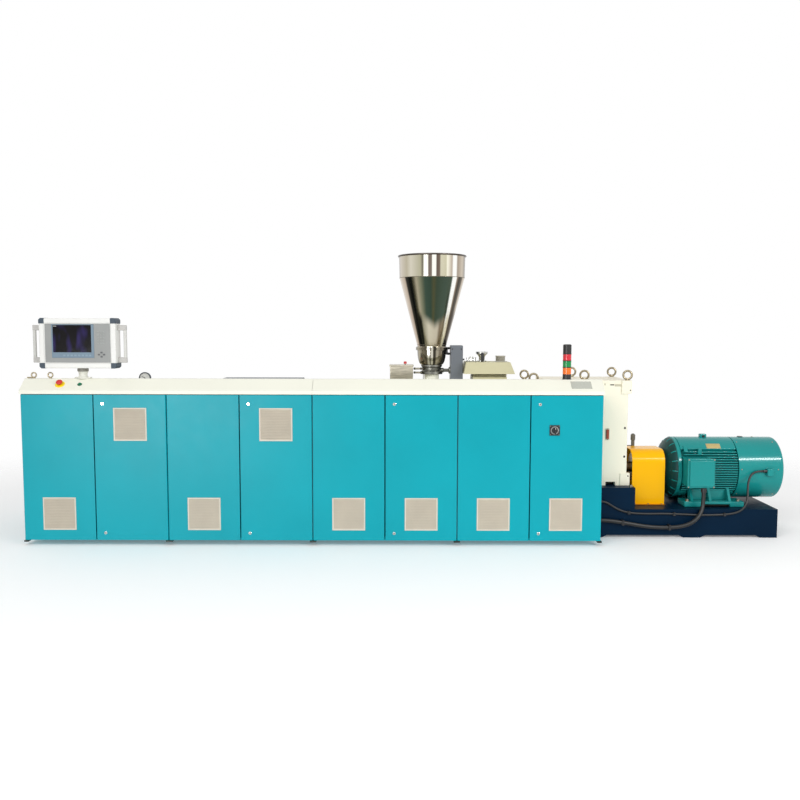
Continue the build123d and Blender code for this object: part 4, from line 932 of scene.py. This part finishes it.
def hopper():
    rim = ends("hopper")[1].z
    shape = Shape("hopper_shell")
    lip = [around((rim - 7, 279), -100 + 25 * i, 7) for i in range(13)]
    cone = [(1540, 120), (1545, 121.5), (2100, 269.5), (HOPPER_SEAM, 271.5)]
    collar = [(HOPPER_SEAM, 271.5), (HOPPER_SEAM + 8, 272), (rim - 14, 276)]
    inside = [(rim - 14, 272.5), (HOPPER_SEAM, 268.5), (1545, 118), (1540, 117), (1540, 120)]
    shape.lathe(HOPPER_AXIS, UP, cone, cone_steel_painted_reflections, 128)
    shape.lathe(HOPPER_AXIS, UP, collar, collar_steel_painted_reflections, 128)
    shape.lathe(HOPPER_AXIS, UP, collar[-1:] + lip + inside[:1], rim_steel, 128)
    shape.lathe(HOPPER_AXIS, UP, inside, collar_steel_painted_reflections, 128)
    for z, r in ((HOPPER_SEAM, 271.8), (1552, 123.4)):
        shape.ring((HOPPER_X, 0, z), UP, r, 2.2, weld_steel, 128, 8)
    for angle in SEAM_ANGLES:
        bottom, top = off_axis(angle, 121.5, 1548), off_axis(angle, 271.0, HOPPER_SEAM - 2)
        shape.rod(bottom, top - bottom, 1.8, (top - bottom).length, weld_steel, 8, 0.5)
        wall = off_axis(angle, 273.5, HOPPER_SEAM + 2)
        shape.rod(wall, UP, 1.8, rim - 28 - HOPPER_SEAM, weld_steel, 8, 0.5)
    shape.keep("root", ["hopper"])


def bowl_side(foot, rise, radius, steps):
    """Points along the bowl's rounded side."""
    points = []
    for i in steps:
        t = math.radians(90 * i / BOWL_STEPS)
        points.append((foot + rise * (1 - math.cos(t)), radius + BOWL_WALL * math.sin(t) ** 0.9))
    return points


def bowl():
    shape = Shape("feeder_shell")
    outside = [(1385, 86)] + bowl_side(1385, 118, 84, range(1, BOWL_STEPS + 1)) + BOWL_LID
    inside = [(1540, 117), (1510, 115.5)] + bowl_side(1390, 113, 79, range(BOWL_STEPS - 1, 0, -1))
    shape.lathe(HOPPER_AXIS, UP, outside + inside + [(1385, 80), outside[0]], bowl_steel_painted_reflections, 112)
    for i in range(LID_BOLTS):
        angle = 360 * (i + 0.5) / LID_BOLTS
        shape.rod(off_axis(angle, LID_CIRCLE, 1531), UP, 4, 5, steel, 6, 0.5)
        shape.rod(off_axis(angle, LID_CIRCLE, 1509.5), (0, 0, -1), 4, 4, steel, 6, 0.5)
    shape.keep("root", ["feeder_bowl"])


def feeder():
    x, stub = HOPPER_X, FEED_STUB_Z
    shape = Shape("feeder_casting")
    shape.lathe(HOPPER_AXIS, UP, CASTING, cast_steel, 72)
    for z in FEED_ROD_HEIGHTS:
        shape.rod((8, 0, z), ALONG, 8, 92, steel, 28)
        shape.rod((14, 0, z), ALONG, 11, 10, dark_steel, 6, 1)
        shape.rod((66, 0, z), ALONG, 11, 12, dark_steel, 6, 1)
    shape.rod((x + 76, 0, stub), ALONG, 20, 26, cast_steel, 40, 3)
    shape.rod((x + 100, 0, stub), ALONG, 14, 42, cast_steel, 40, 2)
    shape.lathe((x + 140, 0, stub), ALONG, [(0, 0), (0, 16), (6, 28), (16, 30), (16, 0)], cast_steel, 48)
    for i in range(BASE_BOLTS):
        shape.screw(off_axis(360 * (i + 0.5) / BASE_BOLTS, BASE_CIRCLE, 1330), UP, 5, 7, steel)
    shape.rod((90, -60, 1210), UP, 3, 100, steel, 16)
    shape.keep("root", ["feeder_base"])

    shape = Shape("feed_throat")
    shape.lathe(HOPPER_AXIS, UP, SLEEVE, cream, 72)
    shape.keep("root")

    shape = Shape("feeder_clamps")
    for z in CLAMP_HEIGHTS:
        shape.rod((x + 126, -20, z), ALONG, 9, 32, black_plastic, 28, 2)
        shape.rod((x + 134, -20, z), ALONG, 12, 9, black_plastic, 6, 1)
    shape.block((x + 116, x + 134), (-28, -12), (1470, 1532), black_plastic, 3)
    shape.keep("root")

    low, high = ends("feed_motor_box")
    shape = Shape("feed_box")
    top, half = FEED_BOX_TOP, high.y
    shape.block((low.x + 5, high.x - 5), (-half + 4, half - 4), (low.z, top - 6), box_steel, 4, 3)
    shape.block((low.x, high.x), (-half, half), (top - 12, top), box_steel, 2.5, 3)
    shape.block((low.x, high.x), (-half, half), (low.z, low.z + 12), box_steel, 2.0)
    knob = (FEED_KNOB_X, FEED_KNOB_Y, top)
    shape.rod(knob, UP, 6, 10, steel, 24)
    shape.lathe(knob, UP, [(8, 0), (8, 10), (11, 13), (24, 13), (28, 10), (29, 0)], red_plastic, 40)
    shape.keep("root", ["feed_motor_box"])

    low, high = ends("feed_drive_cover")
    shape = Shape("drive_housing")
    shape.block((low.x, high.x), (low.y, high.y), (low.z, high.z), grey, 7, 4)
    shape.block((low.x - 3, high.x + 3), (low.y - 3, high.y + 3), (low.z, low.z + 14), grey, 2)
    for z in (low.z + 40, high.z - 30):
        for sx in (low.x + 14, high.x - 14):
            shape.screw((sx, low.y, z), FRONT, 4.5, 4, black_plastic)
    shape.rod((high.x, -30, 1430), ALONG, 7, 16, black_plastic, 24, 1)
    shape.keep("root", ["feed_drive_cover"])


hopper()
bowl()
feeder()


# Vent hood with louvres, valve and fittings
VENT_MIDDLE = 640
VENT_TOP = 1411.0
LOUVRE_FOOT = 1291
KNOB_X = 500
KNOB_PARTS = ((-34, 34, 15), (-6, 42, 17), (22, 36, 14))
VALVE_X = 583
VALVE = [(10, 24), (40, 26), (56, 34), (66, 50), (84, 52), (84, 40), (70, 38), (56, 20), (56, 0)]
HOSE_X = 740
HOSE_RIBS = 7


def vent_hood():
    shape = Shape("hood_louvres")
    for k in range(3):
        shape.bar((VENT_MIDDLE, 0, LOUVRE_FOOT + k * 8 + 1), (134, 134, 1), beige, 0.5, 1)
    # Dark block in the band under the louvres: painted shade
    shape.bar((VENT_MIDDLE, 0, 1302), (128, 128, 14), painted_hole_shade, 0)
    shape.keep("root")

    shape = Shape("hood_fittings")
    top = VENT_TOP
    for dx, height, radius in KNOB_PARTS:
        x = KNOB_X + dx
        shape.rod((x, -20, top), UP, radius, 8, chrome, 6, 1)
        shape.rod((x, -20, top + 8), UP, radius * 0.7, height - 12, chrome, 32, 2)
        shape.rod((x, -20, top + height - 8), UP, radius * 0.95, 8, chrome, 32, 2)
    shape.rod((VALVE_X, 0, top), UP, 40, 10, chrome, 48, 2)
    shape.lathe((VALVE_X, 0, top), UP, VALVE, chrome, 56)
    shape.bar((VALVE_X, -58, top + 38), (13, 8, 36), black_plastic, 5, 3)
    shape.rod((VALVE_X, -62, top + 62), REAR, 14, 40, black_plastic, 32, 3)
    hose = [(0, 0)]
    for at in range(0, 6 * HOSE_RIBS, 6):
        hose += [(at + 0.5, 36), (at + 2, 41), (at + 4, 41), (at + 5.5, 36)]
    shape.lathe((HOSE_X, 0, top), UP, hose + [(44, 43), (50, 43), (50, 0)], hose_grey, 64)
    shape.bar((HOSE_X, 0, top + 3), (52, 40, 3), chrome, 1.5)
    shape.keep("root", ["vent_fittings"])


vent_hood()


# Signal tower: base, three ribbed lenses and a cap
TOWER_X = 1199.0
TOWER_Y = -529.0
TOWER_RADIUS = 32.5
TOWER_BASE = 41
TOWER_LENSES = ((lens_orange, 53), (lens_green, 49), (lens_red, 52))


def tower():
    low, high = ends("signal_tower")
    x, y, r, z = TOWER_X, TOWER_Y, TOWER_RADIUS, low.z
    shape = Shape("tower_lights")
    foot = [(0, 0), (0, r + 2), (5, r + 2), (6, r), (TOWER_BASE - 3, r), (TOWER_BASE, r - 1.5)]
    shape.lathe((x, y, z), UP, foot, tower_black, 64)
    z += TOWER_BASE
    for lens, height in TOWER_LENSES:
        ribs = [(0, r - 1.5), (1.5, r)]
        steps = int(height / 6)
        for k in range(1, steps):
            at = 1.5 + k * (height - 5) / steps
            ribs += [(at - 1, r), (at, r - 0.7), (at + 1, r)]
        ribs += [(height - 3, r), (height - 1.5, r - 1.5)]
        shape.lathe((x, y, z), UP, ribs, lens, 64)
        shape.rod((x, y, z + height - 3), UP, r + 1, 7, tower_black, 64, 1)
        z += height + 2
    top = high.z - z
    cap = [(0, r - 1.5), (1.5, r), (top - 6, r), (top - 1.5, r - 4), (top, r - 9), (top, 0)]
    shape.lathe((x, y, z), UP, cap, tower_black, 64)
    shape.keep("root", ["signal_tower"])


tower()


# Gearbox details
OIL_X = 1588.0
OIL_Z = 832.0
FILTER_X = 1942.0
FILTER_Y = 245.0
FILTER_PARTS = ((636, 15, 90, 40, 3), (714, 20, 52, 40, 4), (764, 12, 9, 6, 2))

# Marks on the front: from the end, from the top, how far they stand out, material and edge
GEAR_MARKS = (
    # The dark mark is a slot drawn as painted shade
    ((173, 141), (40, 31), 1.2, painted_hole_shade, 0.5),
    ((137, 84), (48, 29), 2.4, plate_beige, 1),
    ((221, 212), (40, 24), 1.5, plate_beige, 0.6),
)


def gearbox():
    low, high = ends("gearbox_housing")
    end, front = high.x, low.y + 12
    shape = Shape("gearbox_trim")
    for side, face in ((-1, low.y), (1, high.y)):
        shoe = face - side * 4.5
        # Dark discs for the holes in the cap and the shoe: painted shade
        shape.rod((end - 12, face, high.z - 79), (0, side, 0), 5, 0.6, painted_hole_shade, 28, 0.2)
        foot = (low.z + 0.5, low.z + 103)
        shape.block((end - 78, end + 0.6), (shoe, shoe - side * 46), foot, warm_cream, 2, 3)
        shape.rod((end - 14, shoe, low.z + 79), (0, side, 0), 6, 0.6, painted_hole_shade, 28, 0.2)
    # Dark discs for the ports on the front: painted shade
    for rise in (238.0, 474.0):
        shape.rod((end - 46, front + 3, low.z + rise), FRONT, 8.8, 1, painted_hole_shade, 28, 0.2)
    for back, drop, out, mat, edge in GEAR_MARKS:
        width, height = [end - at for at in back], [high.z - at for at in drop]
        shape.block(width, (front - out, front + 1), height, mat, edge)
    # Dark bar low on the gearbox: painted shade
    shape.block((end - 194, end - 116), (front + 52, front + 56), (low.z + 1, low.z + 29), painted_hole_shade, 0.5)
    shape.keep("root")

    shape = Shape("oil_sight")
    x, z = OIL_X, OIL_Z
    shape.bar((x, front - 3, z), (16, 3, 48), plate_beige, 3, 3)
    shape.bar((x + 1.5, front - 6.5, z), (10.5, 1.5, 38), oil_red, 2.5, 3)
    shape.bar((x - 11.5, front - 6.75, z), (2.5, 1.75, 38), dark_steel, 1.5)
    for rise in (-43, 43):
        shape.rod((x, front - 6, z + rise), FRONT, 4, 3, dark_steel, 6, 0.5)
    shape.keep("root")

    shape = Shape("oil_filter")
    for foot, radius, length, count, edge in FILTER_PARTS:
        shape.rod((FILTER_X, FILTER_Y, foot), UP, radius, length, filter_grey, count, edge)
    shape.rod((end - 27, FILTER_Y, 660), ALONG, 11, FILTER_X - end + 27, dark_steel, 28)
    shape.keep("root")


gearbox()


# Coupling guard: rims and screws
def guard():
    low, high = ends("coupling_guard")
    shape = Shape("guard_trim")
    for side, edge in ((-1, low.y), (1, high.y)):
        for x in (low.x + 24, (low.x + high.x) / 2, high.x - 24):
            shape.screw((x, edge - side * 13, low.z + 4), UP, 6, 7, steel)
        span = (edge, edge - side * 24)
        shape.block((low.x, high.x), span, (low.z - 0.5, low.z + 4.6), rust_orange, 1)
    shape.keep("root")


guard()


# Motor, about a shaft that lies along X
SHAFT_Z = 521.0
FRAME_LEFT = 2190.0
FRAME_RIGHT = 2685.0
FIN_TIP = 256.0
FIN_ROOT = 228.0
FIN_COUNT = 17
FIN_PITCH = 19.6
FOOT_Z = 233.0
FOOT_TOP = FOOT_Z + 44
FOOT_OUT = 290.0
FOOT_IN = 120.0
FOOT_PADS = ((2230, 2398), (2606, 2720))
FOOT_BRIDGE = (2390, 2615)
FOOT_RIBS = (2290.0, 2440.0, 2600.0)
FOOT_RIB_WIDTH = 22
FOOT_BOLTS = (2262.0, 2680.0)
LUG_X = 2464
MOTOR_PLATE_X = (2440, 2556)
MOTOR_PLATE_ANGLES = (45, 57)
SHIELD_LEFT = 2082.0
SHIELD_RIBS = 18
SHIELD_BOLTS = 8
COWL_FILLET = 28
COWL_RINGS = 9
COWL_SPOKES = 6
COWL_SCREWS = (-52, 4, 62, 118, 176, 232)
TERMINAL_X = (2217.0, 2440.0)
TERMINAL_Z = (406.0, 647.0)
TERMINAL_FACE = -388
BLOWER_BOX_X = (2905, 2957)
BLOWER_BOX_Z = (490, 549)
FRAME_RING = [(0, 200), (0, 250), (4, 256), (26, 256), (32, 250), (38, 232), (38, 200)]
SHIELD = [(0, 46), (0, 96), (10, 104), (22, 118), (30, 150), (58, 212), (84, 240)]


def on_shaft(x):
    return Vector((x, 0, SHAFT_Z))


def outward(angle):
    """Direction away from the shaft: angles run from the front (0) over the top (90)."""
    turn = math.radians(angle)
    return Vector((0, -math.cos(turn), math.sin(turn)))


def motor_shell(shape, x, radii, angles, mat, steps, bevel):
    shape.shell(x, radii, angles, mat, (0, SHAFT_Z), steps, bevel)


def motor_fins(shape, side):
    for k in range(FIN_COUNT):
        offset = k * FIN_PITCH - 160
        reach = math.sqrt(FIN_TIP**2 - offset**2) - 1
        near = math.sqrt(max(FIN_ROOT**2 - offset**2, 0)) - 6
        start = FRAME_LEFT + (40 if k < FIN_COUNT - 2 else 52)
        height = (SHAFT_Z + offset - 4.2, SHAFT_Z + offset + 4.2)
        shape.block((start, FRAME_RIGHT - 6), (side * reach, side * near), height, green, 2.2)


def motor_foot(shape, side):
    y, inner = side * FOOT_OUT, side * FOOT_IN
    for pad in FOOT_PADS:
        shape.block(pad, (y, inner), (FOOT_Z, FOOT_TOP), green, 6, 3)
    shape.block(FOOT_BRIDGE, (y, inner), (FOOT_Z + 22, FOOT_TOP), green, 4, 3)
    rib = [(inner, FOOT_Z + 40), (y * 0.96, FOOT_Z + 40), (y * 0.9, FOOT_Z + 60)]
    rib += [(side * 205, FOOT_Z + 150), (inner, FOOT_Z + 150)]
    for x in FOOT_RIBS:
        shape.prism(rib, (x, 0, 0), REAR, UP, FOOT_RIB_WIDTH, green, 3)
    web = (FOOT_RIBS[0], FOOT_RIBS[-1] + FOOT_RIB_WIDTH)
    shape.block(web, (inner, side * 190), (FOOT_Z + 40, FOOT_Z + 130), green, 8, 3)
    for x in FOOT_BOLTS:
        shape.screw((x, y - side * 32, FOOT_TOP), UP, 13, 16, steel)


def motor_frame():
    left, right = FRAME_LEFT, FRAME_RIGHT
    shape = Shape("motor_casing")
    # Core between the fins in darker green: painted shade
    shape.rod(on_shaft(left), ALONG, FIN_ROOT, right - left, green_painted_fin_shade, 96, 2)
    shape.lathe(on_shaft(left - 2), ALONG, FRAME_RING, green, 96)
    motor_shell(shape, (left + 30, right - 4), (220, 256), (44, 136), green, 30, 6)
    motor_shell(shape, (left + 30, right - 4), (220, 250), (-136, -48), green, 24, 5)
    for side in (-1, 1):
        motor_fins(shape, side)
    for side in (-1, 1):
        motor_foot(shape, side)
    motor_shell(shape, (2244, 2274), (250, 266), (36, 50), green, 6, 3)
    # Dark block in the recess between the foot pads: painted shade
    shape.block((FOOT_PADS[0][1], FOOT_PADS[1][0]), (-262, 262), (FOOT_Z + 1, FOOT_Z + 19), painted_hole_shade)
    shape.keep("root", ["motor_frame"])

    shape = Shape("motor_lug")
    shape.bar((LUG_X, 0, SHAFT_Z + 266), (28, 22, 16), green, 7, 3)
    # Dark rod for the lug's eye hole: painted shade
    shape.rod((LUG_X, -30, SHAFT_Z + 262), REAR, 10, 60, painted_hole_shade, 32, 1)
    shape.block((2356, 2388), (-218, -196), (SHAFT_Z + 130, SHAFT_Z + 186), green, 6, 3)
    shape.keep("root")

    shape = Shape("motor_plate")
    (left, right), (low, high) = MOTOR_PLATE_X, MOTOR_PLATE_ANGLES
    motor_shell(shape, (left, right), (256, 258), (low, high), gold_plate, 10, 0.4)
    for x in (left + 8, right - 8):
        for angle in (low + 2, high - 2):
            place = on_shaft(x) + outward(angle) * 257.5
            shape.rod(place, outward(angle), 3, 1.6, steel, 16, 0.5)
    shape.keep("root")


def end_shield():
    shape = Shape("shield_casting")
    length = FRAME_LEFT - SHIELD_LEFT
    dish = SHIELD + [(length - 6, 250), (length, 250), (length, 0)]
    # The dish between the ribs is painted darker: painted shade
    shape.lathe(on_shaft(SHIELD_LEFT), ALONG, dish, green_painted_rib_shade, 96)
    rim = length - 4
    rib = [(6, 92), (30, 112), (52, 200), (78, 240), (rim, 252), (rim, 236), (60, 180), (30, 96)]
    for k in range(SHIELD_RIBS):
        out = outward(360 * k / SHIELD_RIBS)
        origin = on_shaft(SHIELD_LEFT) - Vector(ALONG).cross(out) * 4
        shape.prism(rib, origin, ALONG, out, 8, green, 2)
    for k in range(SHIELD_BOLTS):
        place = on_shaft(FRAME_LEFT - 3) + outward(360 * (k + 0.5) / SHIELD_BOLTS) * 236
        shape.screw(place, (-1, 0, 0), 8, 10, steel)
    shape.keep("root", ["motor_end_shield"])


def blower_cowl():
    low, high = ends("motor_cowl")
    start, end = low.x, high.x
    shape = Shape("blower_cowl")
    curve = [(start + 2, 246), (start, 250), (start + 1, 255), (start + 8, 256), (end - 34, 256)]
    curve += [around((end - 34, 228), angle, COWL_FILLET) for angle in range(80, -1, -10)]
    curve += [(end - 6, 176), (end - 14, 170), (end - 14, 0)]
    shape.lathe(on_shaft(0), ALONG, curve, green, 128)
    for k in range(COWL_RINGS):
        shape.ring(on_shaft(end - 8), ALONG, 30 + k * 17, 2.4, dark_steel, 72, 8)
    for k in range(COWL_SPOKES):
        out = outward(360 * k / COWL_SPOKES)
        shape.rod(on_shaft(end - 8) + out * 14, out, 2.6, 160, dark_steel, 12)
    shape.rod(on_shaft(end - 12), ALONG, 16, 10, dark_steel, 32, 2)
    for angle in COWL_SCREWS:
        for x in (start + 22, end - 60):
            place = on_shaft(x) + outward(angle) * 255.5
            shape.rod(place, outward(angle), 6, 3.5, steel, 6)
    shape.rod((2880, -6, SHAFT_Z + 254), UP, 7, 7, steel, 24, 1.5)
    shape.block((2762, 2800), (-16, 16), (SHAFT_Z + 254, SHAFT_Z + 262), dark_steel, 2)
    shape.keep("root", ["motor_cowl"])


def terminal_boxes():
    (left, right), (bottom, top), face = TERMINAL_X, TERMINAL_Z, TERMINAL_FACE
    shape = Shape("terminal_boxes")
    shape.block((left + 8, right - 8), (face + 12, -190), (bottom + 8, top - 8), green, 8, 3)
    shape.block((left, right), (face, face + 16), (bottom, top), green, 6, 3)
    shape.block((left + 15, right - 10), (face - 12, face + 2), (bottom + 14, top - 16), green, 7, 4)
    for x in (left + 9, right - 9):
        for z in (bottom + 9, top - 9):
            shape.screw((x, face, z), FRONT, 5, 5, steel)
    (left, right), (bottom, top) = BLOWER_BOX_X, BLOWER_BOX_Z
    shape.block((left, right), (-290, -236), (bottom, top), green, 4, 3)
    shape.block((left + 3, right - 3), (-292, -286), (bottom + 3, top - 3), green, 2)
    shape.keep("root", ["motor_boxes"])


motor_frame()
end_shield()
blower_cowl()
terminal_boxes()


# Fixings of the rear panels and the gearbox's pedestal
REAR_PANELS = 8
PEDESTAL_BOLT_Y = 340


def fixings():
    low, high = ends("rear_panels")
    shape = Shape("rear_screws")
    pitch = (high.x - low.x + 6) / REAR_PANELS
    for i in range(REAR_PANELS):
        for dx in (26, pitch - 32):
            for z in (low.z + 40, (low.z + high.z) / 2, high.z - 40):
                shape.rod((low.x + i * pitch + dx, high.y - 0.5, z), REAR, 6, 3, steel, 24, 1)
    shape.keep("root")

    low, high = ends("gearbox_pedestal")
    shape = Shape("pedestal_bolts")
    for y in (-PEDESTAL_BOLT_Y, PEDESTAL_BOLT_Y):
        for x in (high.x - 26, (low.x + high.x) / 2 + 100, low.x + 60):
            shape.screw((x, y, high.z), UP, 14, 16, steel)
    shape.keep("root")


fixings()


# Floor, light and camera
WHITE = (1, 1, 1, 1)
LIT_WORLD = 0.55
SEEN_WORLD = 1.0


def studio_floor():
    """A pale floor that fades out into the white background."""
    reach = FLOOR_HALF
    corners = [(-reach, -reach, 0), (reach, -reach, 0), (reach, reach, 0), (-reach, reach, 0)]
    mesh = bpy.data.meshes.new("floor")
    mesh.from_pydata(corners, [], [(0, 1, 2, 3)])
    floor = bpy.data.objects.new("floor", mesh)
    bpy.context.scene.collection.objects.link(floor)
    mat, tree, shader = new_material("floor")
    look = {"Base Color": (0.94, 0.94, 0.94, 1), "Roughness": 0.8}
    look |= {"Emission Color": WHITE, "Emission Strength": 0.14}
    join(tree, shader, look)
    distance = vector_math(tree, "LENGTH", coords(tree, (0.8, 1, 1)))["Value"]
    fade = remap(tree, distance, source=(FLOOR_NEAR, FLOOR_FAR), kind="SMOOTHSTEP")
    clear = add(tree, "ShaderNodeBsdfTransparent", {})[0]
    mixed = add(tree, "ShaderNodeMixShader", {"Fac": fade, 1: shader.outputs[0], 2: clear})[0]
    join(tree, tree.nodes["Material Output"], {"Surface": mixed})
    dress(floor, mat)


def studio_world():
    """White to the eye and in reflections, softer as light."""
    world = bpy.data.worlds.new("world")
    bpy.context.scene.world = world
    world.use_nodes = True
    tree = world.node_tree
    tree.nodes.clear()
    path = add(tree, "ShaderNodeLightPath", {})
    seen = calculate(tree, "MAXIMUM", path["Is Camera Ray"], path["Is Glossy Ray"])
    seen = calculate(tree, "MAXIMUM", seen, path["Is Transmission Ray"])
    soft = add(tree, "ShaderNodeBackground", {"Color": WHITE, "Strength": LIT_WORLD})[0]
    white = add(tree, "ShaderNodeBackground", {"Color": WHITE, "Strength": SEEN_WORLD})[0]
    mixed = add(tree, "ShaderNodeMixShader", {"Fac": seen, 1: soft, 2: white})[0]
    add(tree, "ShaderNodeOutputWorld", {"Surface": mixed})


def area(name, place, aim, size, power):
    """A rectangular light that looks from its place towards its aim."""
    light = bpy.data.lights.new(name, "AREA")
    light.shape = "RECTANGLE"
    light.size, light.size_y = size
    light.energy = power
    obj = bpy.data.objects.new(name, light)
    obj.location = place
    obj.rotation_euler = (Vector(aim) - Vector(place)).to_track_quat("-Z", "Y").to_euler()
    bpy.context.scene.collection.objects.link(obj)
    return obj


def studio():
    studio_floor()
    studio_world()
    area("key", (-3.0, -7.5, 6.5), (0, 0, 0.8), (6, 3), 315)
    fill = area("fill", (5.5, -6.5, 3.2), (1.8, 0, 0.6), (4, 2.5), 225)
    fill.visible_glossy = False
    glow = area("glow", (-4.1, -8.6, 0.55), (-1.9, -0.7, 0.9), (3.2, 1.0), 260)
    gleam = area("gleam", (5.6, -5.4, 4.7), (2.4, 0, 0.6), (3.6, 0.3), 420)
    for light in (glow, gleam):
        light.visible_diffuse = False

    scene = bpy.context.scene
    camera = bpy.data.cameras.new("camera")
    camera.lens = CAMERA_LENS
    camera.clip_end = 100
    obj = bpy.data.objects.new("camera", camera)
    turn = Matrix.Rotation(math.radians(90 + CAMERA_PITCH), 4, "X")
    roll = Matrix.Rotation(math.radians(CAMERA_ROLL), 4, "Z")
    obj.matrix_world = Matrix.Translation(CAMERA) @ turn @ roll
    scene.collection.objects.link(obj)
    scene.camera = obj
    scene.view_settings.view_transform = "Standard"


studio()

bpy.context.view_layer.update()
